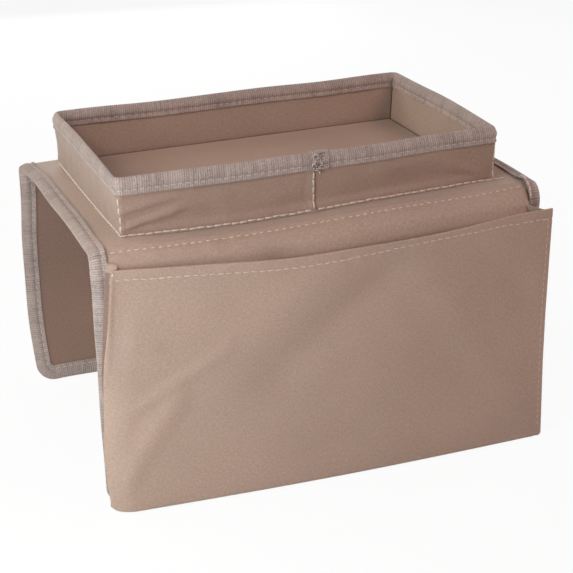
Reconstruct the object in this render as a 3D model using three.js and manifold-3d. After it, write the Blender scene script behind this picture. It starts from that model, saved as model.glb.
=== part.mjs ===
// Armrest organizer: a stiffened cloth saddle that lies over the arm of a chair. A shallow tray stands on
// the saddle, the front panel carries a bellows pocket and the plain back panel hangs down the other side.
// Millimetres. +X runs along the fold lines, -Y points to the pocket side and +Z is up. The origin is the
// middle of the footprint, on the surface that the two panels stand on.
import * as THREE from "three";
import { mergeVertices } from "three/addons/utils/BufferGeometryUtils.js";
import Module from "manifold-3d";

const wasm = await Module();
wasm.setup();

// Driving dimensions of the whole
const SADDLE_LENGTH = 330;
const STANDING_HEIGHT = 184;
const TRAY_LENGTH = 277;
const TRAY_WIDTH = 168;
const TRAY_HEIGHT = 40;
const TRAY_CORNER_RADIUS = 6;
const FRONT_MARGIN = 25;
const BACK_MARGIN = 14;
const FRONT_FOLD_RADIUS = 12;
const BACK_FOLD_RADIUS = 10;
const PANEL_CORNER_RADIUS = 14;
const BACK_PANEL_BOW = 25;
const BACK_PANEL_BOW_SKEW = 1.3;

// Cloth, stiffener board and binding tape
const CLOTH_THICKNESS = 0.8;
const BOARD_THICKNESS = 2;
const TAPE_THICKNESS = 0.6;
const TAPE_SHOWING = 11;
const CLEARANCE = 0.3;
const BOARD_INSET = 5;

// Pocket, measured out from the front panel's face
const POCKET_CLOTH_THICKNESS = 1;
const POCKET_LEFT_INSET_AT_MOUTH = 9;
const POCKET_LEFT_INSET_AT_FOOT = 2;
const POCKET_RIGHT_INSET = 7;
const POCKET_MOUTH_DROP = 9.5;
const POCKET_MOUTH_SAG = 4;
const POCKET_MOUTH_LEFT = 7;
const POCKET_MOUTH_RIGHT = 21;
const POCKET_MOUTH_BELLY = 10;
const POCKET_FOOT_LEFT = 14;
const POCKET_FOOT_RIGHT = 28;
const POCKET_FOOT_BELLY = 4;
const POCKET_FOOT_RADIUS = 3;
const POCKET_HEM_WIDTH = 9;
const POCKET_HEM_THICKNESS = 0.8;
const GUSSET_PLEAT_LEFT = 5;
const GUSSET_PLEAT_RIGHT = 2;

// Lapped end of the rim tape
const LAP_LENGTH = 13;
const LAP_START = -4;

// How far a cutting shape reaches past the piece that it cuts
const CUT_SPARE = 1;

// Facets
const ARC_STEPS = 8;
const CORNER_STEPS = 6;
const BOW_STEPS = 14;
const POCKET_COLUMNS = 20;
const POCKET_ROWS = 10;

// Layers of the stiffened cloth sandwich, as depths below its outer face
const COVER = [0, CLOTH_THICKNESS];
const BOARD = [COVER[1] + CLEARANCE, COVER[1] + CLEARANCE + BOARD_THICKNESS];
const LINING = [BOARD[1] + CLEARANCE, BOARD[1] + CLEARANCE + CLOTH_THICKNESS];
const SANDWICH = LINING[1];
const TAPE_PROUD = CLEARANCE + TAPE_THICKNESS;

const cloth = new THREE.MeshStandardMaterial({ color: 0xae9482, roughness: 0.9, metalness: 0 });
const lining = new THREE.MeshStandardMaterial({ color: 0xa58a78, roughness: 0.92, metalness: 0 });
const tape = new THREE.MeshStandardMaterial({ color: 0xa08c82, roughness: 0.85, metalness: 0 });
const board = new THREE.MeshStandardMaterial({ color: 0xd8d4c8, roughness: 0.6, metalness: 0 });

const organizer = new THREE.Group();

function addPiece(name, geometry, material) {
  const piece = new THREE.Mesh(geometry, material);
  piece.name = name;
  organizer.add(piece);
}

// Solids for cutting and joining
function toSolid(geometry) {
  const bare = geometry.clone();
  bare.deleteAttribute("normal");
  bare.deleteAttribute("uv");
  const merged = mergeVertices(bare, 1e-4);
  const mesh = new wasm.Mesh({
    numProp: 3,
    vertProperties: new Float32Array(merged.attributes.position.array),
    triVerts: new Uint32Array(merged.index.array),
  });
  return new wasm.Manifold(mesh);
}

function toGeometry(solid) {
  const mesh = solid.getMesh();
  const geometry = new THREE.BufferGeometry();
  geometry.setAttribute("position", new THREE.BufferAttribute(mesh.vertProperties, 3));
  geometry.setIndex(new THREE.BufferAttribute(mesh.triVerts, 1));
  geometry.computeVertexNormals();
  return geometry;
}

// A flat shape drawn in Y and Z, carried along X from one place to another
function extrudeAlongX(shape, fromX, toX) {
  const geometry = new THREE.ExtrudeGeometry(shape, { depth: toX - fromX, bevelEnabled: false });
  const axes = new THREE.Matrix4().makeBasis(
    new THREE.Vector3(0, 1, 0),
    new THREE.Vector3(0, 0, 1),
    new THREE.Vector3(1, 0, 0),
  );
  return geometry.applyMatrix4(axes).translate(fromX, 0, 0);
}

// A flat shape drawn in X and Z, carried through everything along Y
function extrudeAlongY(shape) {
  const reach = 2 * (TRAY_WIDTH + STANDING_HEIGHT);
  const geometry = new THREE.ExtrudeGeometry(shape, {
    depth: reach,
    bevelEnabled: false,
    curveSegments: CORNER_STEPS,
  });
  const axes = new THREE.Matrix4().makeBasis(
    new THREE.Vector3(1, 0, 0),
    new THREE.Vector3(0, 0, 1),
    new THREE.Vector3(0, -1, 0),
  );
  return geometry.applyMatrix4(axes).translate(0, reach / 2, 0);
}

function boxBetween(low, high) {
  const size = high.map((value, axis) => value - low[axis]);
  const middle = high.map((value, axis) => (value + low[axis]) / 2);
  return new THREE.BoxGeometry(...size).translate(...middle);
}

// A path is a list of points on the outer face of the sandwich, each with its outward direction
function bend(side, fromDegrees, toDegrees) {
  const points = [];
  for (let step = 0; step <= ARC_STEPS; step += 1) {
    const angle = THREE.MathUtils.degToRad(THREE.MathUtils.lerp(fromDegrees, toDegrees, step / ARC_STEPS));
    const out = new THREE.Vector2(side.sign * Math.cos(angle), Math.sin(angle));
    const centre = new THREE.Vector2(side.sign * side.foldStart, STANDING_HEIGHT - side.foldRadius);
    points.push({ place: centre.addScaledVector(out, side.foldRadius), out });
  }
  return points;
}

// The hanging panel leans out by bow * sin(pi * fall^skew), where fall goes from 0 at its top to 1 at its
// foot. The path runs on past the foot, where the panel's outline cuts it.
function hang(side) {
  const top = STANDING_HEIGHT - side.foldRadius - CLEARANCE;
  const pastFoot = 1.04;
  const points = [];
  for (let step = 0; step <= BOW_STEPS; step += 1) {
    const fall = (pastFoot * step) / BOW_STEPS;
    const phase = Math.PI * fall ** BACK_PANEL_BOW_SKEW;
    const lean = side.bow * Math.sin(phase);
    const phaseRate = Math.PI * BACK_PANEL_BOW_SKEW * fall ** (BACK_PANEL_BOW_SKEW - 1);
    const leanRate = side.bow * Math.cos(phase) * phaseRate;
    const out = new THREE.Vector2(side.sign * top, leanRate).normalize();
    const place = new THREE.Vector2(side.sign * (side.face + lean), top * (1 - fall));
    points.push({ place, out });
  }
  return points;
}

// The layer of a path that lies between two depths below the outer face
function layerShape(path, [shallow, deep]) {
  const outer = path.map(({ place, out }) => place.clone().addScaledVector(out, -shallow));
  const inner = path.map(({ place, out }) => place.clone().addScaledVector(out, -deep));
  return new THREE.Shape([...outer, ...inner.reverse()]);
}

// The outline of a hanging panel with two round bottom corners, drawn smaller all round by an inset
function panelOutline(inset) {
  const half = SADDLE_LENGTH / 2 - inset;
  const radius = PANEL_CORNER_RADIUS - inset;
  const outline = new THREE.Shape();
  outline.moveTo(-half, STANDING_HEIGHT);
  outline.lineTo(-half, inset + radius);
  outline.absarc(-half + radius, inset + radius, radius, Math.PI, 1.5 * Math.PI, false);
  outline.absarc(half - radius, inset + radius, radius, 1.5 * Math.PI, 2 * Math.PI, false);
  outline.lineTo(half, STANDING_HEIGHT);
  return outline;
}

function cutPanel(path, depths, inset) {
  const reach = SADDLE_LENGTH / 2 + inset;
  const slab = toSolid(extrudeAlongX(layerShape(path, depths), -reach, reach));
  return slab.intersect(toSolid(extrudeAlongY(panelOutline(inset))));
}

const sides = {
  front: { sign: -1, face: TRAY_WIDTH / 2 + FRONT_MARGIN, foldRadius: FRONT_FOLD_RADIUS, bow: 0 },
  back: { sign: 1, face: TRAY_WIDTH / 2 + BACK_MARGIN, foldRadius: BACK_FOLD_RADIUS, bow: BACK_PANEL_BOW },
};
for (const side of Object.values(sides)) {
  side.foldStart = side.face - side.foldRadius;
}
const clothHalf = SADDLE_LENGTH / 2 - TAPE_PROUD;
const boardHalf = SADDLE_LENGTH / 2 - BOARD_INSET;
const tapeOuter = [-TAPE_PROUD, SANDWICH + TAPE_PROUD];
const tapeSlot = [-CLEARANCE, SANDWICH + CLEARANCE];

// Saddle: cover, stiffener board and lining between the two folds
function addSaddleLayer(name, [shallow, deep], half, endGap, material) {
  const low = [-half, -sides.front.foldStart + endGap, STANDING_HEIGHT - deep];
  const high = [half, sides.back.foldStart - endGap, STANDING_HEIGHT - shallow];
  addPiece(name, boxBetween(low, high), material);
}

function addSaddleBinding(name, hand) {
  const edge = (hand * SADDLE_LENGTH) / 2;
  const ends = [-sides.front.foldStart + CLEARANCE, sides.back.foldStart - CLEARANCE];
  const span = (depths, fromX, toX, spare) => {
    const across = [Math.min(fromX, toX), Math.max(fromX, toX)];
    return toSolid(boxBetween(
      [across[0], ends[0] - spare, STANDING_HEIGHT - depths[1]],
      [across[1], ends[1] + spare, STANDING_HEIGHT - depths[0]],
    ));
  };
  const band = span(tapeOuter, edge - hand * TAPE_SHOWING, edge, 0);
  const slotInner = edge - hand * (TAPE_SHOWING + CUT_SPARE);
  const slot = span(tapeSlot, slotInner, edge - hand * TAPE_THICKNESS, CUT_SPARE);
  addPiece(name, toGeometry(band.subtract(slot)), tape);
}

addSaddleLayer("top_board", BOARD, boardHalf, 2 * CLEARANCE, board);
addSaddleLayer("top_cover", COVER, clothHalf, CLEARANCE, cloth);
addSaddleLayer("top_lining", LINING, clothHalf, CLEARANCE, lining);
addSaddleBinding("saddle_binding_left", -1);
addSaddleBinding("saddle_binding_right", 1);

// Folds: the same cover, lining and tape, bent through a quarter turn with no board inside
function addFold(name, side) {
  const quarter = bend(side, 90, 0);
  const beyond = bend(side, 100, -10);
  addPiece(name + "_fold_cover", extrudeAlongX(layerShape(quarter, COVER), -clothHalf, clothHalf), cloth);
  addPiece(name + "_fold_lining", extrudeAlongX(layerShape(quarter, LINING), -clothHalf, clothHalf), lining);
  for (const [handName, hand] of [["left", -1], ["right", 1]]) {
    const edge = (hand * SADDLE_LENGTH) / 2;
    const inner = edge - hand * TAPE_SHOWING;
    const bandEnds = [inner, edge].sort((a, b) => a - b);
    const slotEnds = [inner - hand * CUT_SPARE, edge - hand * TAPE_THICKNESS].sort((a, b) => a - b);
    const band = toSolid(extrudeAlongX(layerShape(quarter, tapeOuter), ...bandEnds));
    const slot = toSolid(extrudeAlongX(layerShape(beyond, tapeSlot), ...slotEnds));
    addPiece(name + "_fold_binding_" + handName, toGeometry(band.subtract(slot)), tape);
  }
}

// Hanging panels: cover, board and lining, with tape round the two sides and the foot
function addPanel(name, side) {
  const path = hang(side);
  addPiece(name + "_board", toGeometry(cutPanel(path, BOARD, BOARD_INSET)), board);
  addPiece(name + "_cover", toGeometry(cutPanel(path, COVER, TAPE_PROUD)), cloth);
  addPiece(name + "_lining", toGeometry(cutPanel(path, LINING, TAPE_PROUD)), lining);
  const window = toSolid(extrudeAlongY(panelOutline(TAPE_SHOWING)));
  const slot = cutPanel(path, tapeSlot, TAPE_THICKNESS);
  const band = cutPanel(path, tapeOuter, 0).subtract(window).subtract(slot);
  addPiece(name + "_binding", toGeometry(band), tape);
}

for (const [name, side] of Object.entries(sides)) {
  addFold(name, side);
  addPanel(name, side);
}

// Tray: a band of four boards between two cloth rings, on a stiffened floor
function trayOutline(inset) {
  const halfLength = TRAY_LENGTH / 2 - inset;
  const halfWidth = TRAY_WIDTH / 2 - inset;
  const radius = TRAY_CORNER_RADIUS - inset;
  const outline = new THREE.Shape();
  outline.absarc(halfLength - radius, halfWidth - radius, radius, 0, 0.5 * Math.PI, false);
  outline.absarc(-halfLength + radius, halfWidth - radius, radius, 0.5 * Math.PI, Math.PI, false);
  outline.absarc(-halfLength + radius, -halfWidth + radius, radius, Math.PI, 1.5 * Math.PI, false);
  outline.absarc(halfLength - radius, -halfWidth + radius, radius, 1.5 * Math.PI, 2 * Math.PI, false);
  return outline;
}

function trayRing([shallow, deep], lowZ, highZ) {
  const ring = trayOutline(shallow);
  ring.holes.push(trayOutline(deep));
  const options = { depth: highZ - lowZ, bevelEnabled: false, curveSegments: CORNER_STEPS };
  return new THREE.ExtrudeGeometry(ring, options).translate(0, 0, lowZ);
}

const trayFoot = STANDING_HEIGHT + CLEARANCE;
const rimTop = STANDING_HEIGHT + TRAY_HEIGHT;
const wallTop = rimTop - TAPE_PROUD;
const boardTop = wallTop - BOARD_INSET;
const floorBoardTop = trayFoot + BOARD_THICKNESS;

addPiece("tray_outer_cloth", trayRing(COVER, trayFoot, wallTop), cloth);
addPiece("tray_inner_cloth", trayRing(LINING, trayFoot, wallTop), lining);

const wallBoards = [
  ["tray_front_board", 0, -1],
  ["tray_back_board", 0, 1],
  ["tray_left_board", -1, 0],
  ["tray_right_board", 1, 0],
];
for (const [name, alongX, alongY] of wallBoards) {
  const halfRun = (alongX ? TRAY_WIDTH : TRAY_LENGTH) / 2 - TRAY_CORNER_RADIUS;
  const distance = (alongX ? TRAY_LENGTH : TRAY_WIDTH) / 2 - (BOARD[0] + BOARD[1]) / 2;
  const size = alongX ? [BOARD_THICKNESS, 2 * halfRun] : [2 * halfRun, BOARD_THICKNESS];
  const wall = new THREE.BoxGeometry(...size, boardTop - trayFoot);
  addPiece(name, wall.translate(alongX * distance, alongY * distance, (boardTop + trayFoot) / 2), board);
}

function trayFloor(lowZ, thickness) {
  const options = { depth: thickness, bevelEnabled: false, curveSegments: 1 };
  const outline = new THREE.Shape();
  const halfLength = TRAY_LENGTH / 2 - SANDWICH - 2 * CLEARANCE;
  const halfWidth = TRAY_WIDTH / 2 - SANDWICH - 2 * CLEARANCE;
  outline.moveTo(-halfLength, -halfWidth);
  outline.lineTo(halfLength, -halfWidth);
  outline.lineTo(halfLength, halfWidth);
  outline.lineTo(-halfLength, halfWidth);
  return new THREE.ExtrudeGeometry(outline, options).translate(0, 0, lowZ);
}
addPiece("tray_floor_board", trayFloor(trayFoot, BOARD_THICKNESS), board);
addPiece("tray_floor_cloth", trayFloor(floorBoardTop + CLEARANCE, CLOTH_THICKNESS), lining);

// Rim tape: folded over the top of the wall, with its end lapped at the middle of the front
const rimBand = toSolid(trayRing(tapeOuter, rimTop - TAPE_SHOWING, rimTop));
const rimSlot = toSolid(trayRing(tapeSlot, rimTop - TAPE_SHOWING - CUT_SPARE, rimTop - TAPE_THICKNESS));
addPiece("tray_rim_binding", toGeometry(rimBand.subtract(rimSlot)), tape);

function lapBox(proud, fromX, toX, lowZ) {
  const outerY = -TRAY_WIDTH / 2 + tapeOuter[0] - proud;
  const innerY = -TRAY_WIDTH / 2 + tapeOuter[1] + proud;
  return toSolid(boxBetween([fromX, outerY, lowZ], [toX, innerY, rimTop + proud]));
}
const lapFoot = rimTop - TAPE_SHOWING - CLEARANCE;
const lapBand = lapBox(TAPE_PROUD, LAP_START, LAP_START + LAP_LENGTH, lapFoot);
const lapEnds = [LAP_START - CUT_SPARE, LAP_START + LAP_LENGTH + CUT_SPARE];
const lapSlot = lapBox(CLEARANCE, ...lapEnds, lapFoot - CUT_SPARE);
addPiece("tray_rim_binding_end", toGeometry(lapBand.subtract(lapSlot)), tape);

// A closed sheet from two grids of points of the same size, one for each face. Seen from the outer face,
// the rows follow each other downwards and the points of a row run to the right.
function closedSheet(outerGrid, innerGrid) {
  const rows = outerGrid.length;
  const columns = outerGrid[0].length;
  const points = [...outerGrid.flat(), ...innerGrid.flat()];
  const outer = (row, column) => row * columns + column;
  const inner = (row, column) => rows * columns + row * columns + column;
  const faces = [];
  const addQuad = (a, b, c, d) => faces.push(a, b, c, a, c, d);
  for (let row = 0; row < rows - 1; row += 1) {
    for (let column = 0; column < columns - 1; column += 1) {
      addQuad(outer(row, column), outer(row + 1, column), outer(row + 1, column + 1), outer(row, column + 1));
      addQuad(inner(row, column), inner(row, column + 1), inner(row + 1, column + 1), inner(row + 1, column));
    }
    const last = columns - 1;
    addQuad(outer(row, 0), inner(row, 0), inner(row + 1, 0), outer(row + 1, 0));
    addQuad(outer(row, last), outer(row + 1, last), inner(row + 1, last), inner(row, last));
  }
  for (let column = 0; column < columns - 1; column += 1) {
    const last = rows - 1;
    addQuad(outer(0, column), outer(0, column + 1), inner(0, column + 1), inner(0, column));
    addQuad(outer(last, column), inner(last, column), inner(last, column + 1), outer(last, column + 1));
  }
  const geometry = new THREE.BufferGeometry().setFromPoints(points);
  geometry.setIndex(faces);
  geometry.computeVertexNormals();
  return geometry;
}

// Pocket: how far the mouth and the foot stand off the panel, across from 0 at the left to 1 at the right
const frontFace = -sides.front.face;
const leftEdgeAtMouth = -SADDLE_LENGTH / 2 + POCKET_LEFT_INSET_AT_MOUTH;
const leftEdgeAtFoot = -SADDLE_LENGTH / 2 + POCKET_LEFT_INSET_AT_FOOT;
const rightEdge = SADDLE_LENGTH / 2 - POCKET_RIGHT_INSET;

function mouthHeight(across) {
  return STANDING_HEIGHT - POCKET_MOUTH_DROP - POCKET_MOUTH_SAG * Math.sin(Math.PI * across);
}

function standOff(across, left, right, belly) {
  return THREE.MathUtils.lerp(left, right, across) + belly * Math.sin(Math.PI * across);
}

function pocketX(across, z) {
  const left = THREE.MathUtils.lerp(leftEdgeAtFoot, leftEdgeAtMouth, z / STANDING_HEIGHT);
  return THREE.MathUtils.lerp(left, rightEdge, across);
}

// The cross-section runs down from the mouth, turns under at the foot and goes back to the panel's binding
function pocketSection(across) {
  const mouthOut = standOff(across, POCKET_MOUTH_LEFT, POCKET_MOUTH_RIGHT, POCKET_MOUTH_BELLY);
  const footOut = standOff(across, POCKET_FOOT_LEFT, POCKET_FOOT_RIGHT, POCKET_FOOT_BELLY);
  const mouth = new THREE.Vector2(mouthOut, mouthHeight(across));
  const turnCentre = new THREE.Vector2(footOut - POCKET_FOOT_RADIUS, POCKET_FOOT_RADIUS);
  const fall = new THREE.Vector2(footOut, POCKET_FOOT_RADIUS).sub(mouth).normalize();
  const faceOut = new THREE.Vector2(-fall.y, fall.x);
  const heel = turnCentre.clone().addScaledVector(faceOut, POCKET_FOOT_RADIUS);
  const outer = [];
  const inner = [];
  const addPoint = (place, out, thickness) => {
    const under = place.clone().addScaledVector(out, -thickness);
    const x = pocketX(across, place.y);
    outer.push(new THREE.Vector3(x, frontFace - place.x, place.y));
    inner.push(new THREE.Vector3(x, frontFace - under.x, under.y));
  };
  const hemmed = POCKET_CLOTH_THICKNESS + POCKET_HEM_THICKNESS;
  addPoint(mouth, faceOut, hemmed);
  addPoint(mouth.clone().addScaledVector(fall, POCKET_HEM_WIDTH), faceOut, hemmed);
  const start = mouth.clone().addScaledVector(fall, POCKET_HEM_WIDTH + POCKET_HEM_THICKNESS);
  for (let row = 0; row <= POCKET_ROWS; row += 1) {
    addPoint(start.clone().lerp(heel, row / POCKET_ROWS), faceOut, POCKET_CLOTH_THICKNESS);
  }
  const turnStart = Math.atan2(faceOut.y, faceOut.x);
  for (let step = 1; step <= CORNER_STEPS; step += 1) {
    const angle = THREE.MathUtils.lerp(turnStart, -Math.PI / 2, step / CORNER_STEPS);
    const out = new THREE.Vector2(Math.cos(angle), Math.sin(angle));
    addPoint(turnCentre.clone().addScaledVector(out, POCKET_FOOT_RADIUS), out, POCKET_CLOTH_THICKNESS);
  }
  const seam = new THREE.Vector2(TAPE_PROUD + CLEARANCE, 0);
  addPoint(seam, new THREE.Vector2(0, -1), POCKET_CLOTH_THICKNESS);
  return { outer, inner };
}

const sections = [];
for (let column = 0; column <= POCKET_COLUMNS; column += 1) {
  sections.push(pocketSection(column / POCKET_COLUMNS));
}
const pocketOuter = sections[0].outer.map((point, row) => sections.map((section) => section.outer[row]));
const pocketInner = sections[0].inner.map((point, row) => sections.map((section) => section.inner[row]));
addPiece("front_pocket", closedSheet(pocketOuter, pocketInner), cloth);

// Gussets: each end of the pocket is closed by a strip with one pleat that points inwards. The strip runs
// from the seam beside the panel's tape to the edge of the pocket's front.
function addGusset(name, hand, across, pleat) {
  const section = pocketSection(across);
  const seamX = hand * (SADDLE_LENGTH / 2 - TAPE_SHOWING - CLEARANCE - CLOTH_THICKNESS);
  const seamY = frontFace - TAPE_PROUD - CLEARANCE;
  const outerGrid = [];
  const innerGrid = [];
  const footRow = section.inner.length - CORNER_STEPS - 2;
  for (let row = 0; row <= footRow; row += 1) {
    const edge = section.inner[row];
    const z = edge.z + (row === footRow ? POCKET_CLOTH_THICKNESS : 0);
    const edgeX = edge.x - hand * CLOTH_THICKNESS;
    const edgeY = edge.y + CLEARANCE;
    const foldX = hand * Math.min(hand * seamX, hand * edgeX) - hand * pleat;
    const strip = [[edgeX, edgeY], [foldX, (edgeY + seamY) / 2], [seamX, seamY]];
    outerGrid.push(strip.map(([x, y]) => new THREE.Vector3(x + hand * CLOTH_THICKNESS, y, z)));
    innerGrid.push(strip.map(([x, y]) => new THREE.Vector3(x, y, z)));
  }
  const geometry = hand > 0 ? closedSheet(outerGrid, innerGrid) : closedSheet(innerGrid, outerGrid);
  addPiece(name, geometry, cloth);
}
addGusset("pocket_gusset_left", -1, 0, GUSSET_PLEAT_LEFT);
addGusset("pocket_gusset_right", 1, 1, GUSSET_PLEAT_RIGHT);

// The origin goes to the middle of the footprint
const reach = new THREE.Box3().setFromObject(organizer);
const middle = reach.getCenter(new THREE.Vector3());
organizer.position.set(-middle.x, -middle.y, -reach.min.z);

export default organizer;
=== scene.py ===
# %% [markdown]
# # An armrest organizer, sewn from stiffened cloth
# A saddle of cloth over stiffener board lies on the arm of a sofa. A raised tray stands on it, a panel with a
# pocket hangs down in front and a plain panel hangs down behind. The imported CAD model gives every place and
# every moving body. Its soft solids are blocks, so each of them is replaced here by a sheet of cloth that has
# the thickness, the seams and the small unevenness of a sewn one.

# %% Load the frame
import math

import bpy
import numpy as np
from mathutils import Matrix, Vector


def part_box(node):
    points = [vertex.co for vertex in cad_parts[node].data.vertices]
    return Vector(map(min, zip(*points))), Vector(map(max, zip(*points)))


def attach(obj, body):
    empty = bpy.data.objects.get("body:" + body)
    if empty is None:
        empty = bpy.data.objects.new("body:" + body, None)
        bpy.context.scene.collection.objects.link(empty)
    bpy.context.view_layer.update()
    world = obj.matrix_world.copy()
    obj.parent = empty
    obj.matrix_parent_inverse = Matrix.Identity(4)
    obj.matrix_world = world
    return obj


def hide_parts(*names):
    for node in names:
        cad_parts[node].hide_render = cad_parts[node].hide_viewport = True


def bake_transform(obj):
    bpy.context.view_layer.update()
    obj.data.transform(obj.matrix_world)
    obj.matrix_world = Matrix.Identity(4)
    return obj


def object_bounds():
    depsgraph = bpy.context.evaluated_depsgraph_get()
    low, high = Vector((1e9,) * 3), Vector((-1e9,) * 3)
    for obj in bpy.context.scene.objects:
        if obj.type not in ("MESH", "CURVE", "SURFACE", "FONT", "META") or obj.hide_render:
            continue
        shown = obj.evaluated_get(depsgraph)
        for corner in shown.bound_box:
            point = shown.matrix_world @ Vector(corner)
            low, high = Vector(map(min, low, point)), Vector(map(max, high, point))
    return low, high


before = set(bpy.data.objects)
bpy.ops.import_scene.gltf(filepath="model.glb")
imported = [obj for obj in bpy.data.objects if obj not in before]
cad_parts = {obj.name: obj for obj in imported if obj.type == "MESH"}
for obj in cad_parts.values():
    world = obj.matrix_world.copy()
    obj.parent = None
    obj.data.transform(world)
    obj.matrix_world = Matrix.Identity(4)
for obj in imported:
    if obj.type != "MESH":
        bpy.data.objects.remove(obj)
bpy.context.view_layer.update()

# %% [markdown]
# ## Sizes
# The work is done in millimetres, with X along the folds, Y from the pocket side to the back and Z up, and with
# Y counted from the middle of the tray. One shift then brings every mesh into the frame of the CAD model. The
# sizes are those that the CAD model was built from, so each sheet lands where its solid is.

# %% Sizes, in millimetres
MM = 0.001
tray_floor_low, tray_floor_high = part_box("tray_floor_cloth")
SHIFT = np.array([0.0, (tray_floor_low.y + tray_floor_high.y) / 2 / MM, 0.0])

HALF_LENGTH = 165.0
HEIGHT = 184.0
CLOTH = 0.8
BOARD = 2.0
GAP = 0.3
TAPE = 0.6
BOARD_DEPTH = CLOTH + GAP
LINING_DEPTH = BOARD_DEPTH + BOARD + GAP
SANDWICH = LINING_DEPTH + CLOTH
TAPE_PROUD = GAP + TAPE
CORNER_RADIUS = 14.0
print("shift of Y, mm:", round(SHIFT[1], 3), " cloth and board together, mm:", round(SANDWICH, 2))

# %% [markdown]
# ## Camera
# The photograph was taken from the front left, a little above the tray, with a long lens. The camera's place
# and its three axes come from a pinhole model fitted to the corners of the tray and the panels.

# %% Camera
YAW, PITCH, ROLL = (math.radians(a) for a in (21.29, 22.89, -0.95))
LENS = 36.0 * 1500.0 / 573.0

forward = np.array([math.sin(YAW) * math.cos(PITCH), math.cos(YAW) * math.cos(PITCH), -math.sin(PITCH)])
level = np.array([math.cos(YAW), -math.sin(YAW), 0.0])
upright = np.cross(level, forward)
camera_x = math.cos(ROLL) * level + math.sin(ROLL) * upright
camera_y = math.cos(ROLL) * upright - math.sin(ROLL) * level

camera = bpy.data.objects.new("camera", bpy.data.cameras.new("camera"))
bpy.context.scene.collection.objects.link(camera)
camera.data.sensor_width = 36.0
camera.data.lens = LENS
camera.data.clip_end = 50.0
pose = np.eye(4)
pose[:3, 0], pose[:3, 1], pose[:3, 2] = camera_x, camera_y, -forward
pose[:3, 3] = (np.array([-370.3, -977.0, HEIGHT + 349.9]) + SHIFT) * MM
camera.matrix_world = Matrix(pose.tolist())
bpy.context.scene.camera = camera
print("camera at, m:", np.round(pose[:3, 3], 3).tolist(), " lens, mm:", round(LENS, 1))

# %% [markdown]
# ## Shader maths as Python
# A procedural material is arithmetic on coordinates. Wiring dozens of Math nodes by hand hides the formula, so
# one small class wraps a socket and lets Python's own operators add the nodes. Every other node comes from one
# method, `node`, which sets the node's own settings before it fills its sockets.

# %% A socket that does sums
class Socket:
    """An output socket. Sums with numbers or other sockets add Math nodes to the same material."""

    def __init__(self, tree, output):
        self.tree = tree
        self.output = output

    def maths(self, operation, first, second=0.0):
        """A Math node's result for one or two numbers or sockets."""
        return self.tree.node("ShaderNodeMath", {"operation": operation}, {0: first, 1: second})

    def __add__(self, other):
        return self.maths("ADD", self, other)

    def __radd__(self, other):
        return self.maths("ADD", other, self)

    def __sub__(self, other):
        return self.maths("SUBTRACT", self, other)

    def __rsub__(self, other):
        return self.maths("SUBTRACT", other, self)

    def __mul__(self, other):
        return self.maths("MULTIPLY", self, other)

    def __rmul__(self, other):
        return self.maths("MULTIPLY", other, self)

    def __pow__(self, other):
        return self.maths("POWER", self, other)

    def __abs__(self):
        return self.maths("ABSOLUTE", self)

    def sine(self):
        """The sine of this number, taken as an angle in radians."""
        return self.maths("SINE", self)


# %% A material's nodes
class Nodes:
    """The node tree of one material, with a Principled BSDF and its output in place."""

    def __init__(self, name):
        self.material = bpy.data.materials.new(name)
        self.material.use_nodes = True
        self.tree = self.material.node_tree
        self.shader = self.tree.nodes["Principled BSDF"]

    def node(self, kind, settings=None, inputs=None, output=0):
        """Adds a node of this kind, with its settings first and its sockets after them."""
        made = self.tree.nodes.new(kind)
        for key, value in (settings or {}).items():
            setattr(made, key, value)
        self.fill(made, inputs or {})
        return Socket(self, made.outputs[output])

    def fill(self, made, inputs):
        """Sets each socket to its plain value, or links it to the node that the value comes from."""
        for key, value in inputs.items():
            if isinstance(value, Socket):
                self.tree.links.new(value.output, made.inputs[key])
            else:
                made.inputs[key].default_value = value

    def mix(self, share, first, second):
        """The colour that is share of the way from the first colour to the second.

        The Mix node keeps sockets for numbers and vectors too: 6, 7 and output 2 are the ones for colours.
        """
        settings = {"data_type": "RGBA"}
        return self.node("ShaderNodeMix", settings, {0: share, 6: first, 7: second}, output=2)

    def noise(self, vector, scale, detail=2.0):
        """Smooth noise from 0 to 1, with scale lumps in each metre."""
        return self.node("ShaderNodeTexNoise", {}, {"Vector": vector, "Scale": scale, "Detail": detail})

    def combine(self, x, y):
        """The vector (x, y, 0)."""
        return self.node("ShaderNodeCombineXYZ", {}, {"X": x, "Y": y, "Z": 0.0})

    def on_cloth(self):
        """The sheet's own UV map in metres: the vector, then its first and its second number."""
        uv = self.node("ShaderNodeUVMap", {"uv_map": "cloth"})
        return uv, *(self.node("ShaderNodeSeparateXYZ", {}, {"Vector": uv}, output=k) for k in ("X", "Y"))

    def bumped(self, height, strength):
        """A normal that tilts as if the surface rose by 0.2 mm where the height is 1."""
        return self.node("ShaderNodeBump", {}, {"Strength": strength, "Distance": 0.0002, "Height": height})


def shade(colour, factor):
    """The colour times a plain number, as the four numbers of a colour socket."""
    return tuple(min(1.0, part * factor) for part in colour) + (1.0,)


# %% [markdown]
# ## Woven cloth
# The fabric is a plain weave of thick polyester yarn. Warp yarns run down each sheet and weft yarns across it,
# and each passes over and under the other in turn. The product of one sine across and one sine down has just
# that sign, and its size is high in the middle of each crossing and zero in the gaps between yarns. It drives
# a bump and a slight change of colour. The sheet's own UV map holds metres of cloth, so the weave bends with
# the sheet. Slow noise adds the cloudiness of piece-dyed cloth, and long thin noise the thick and thin places
# of the yarn.

# %% Cloth material
YARN_PITCH = 0.00064


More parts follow.
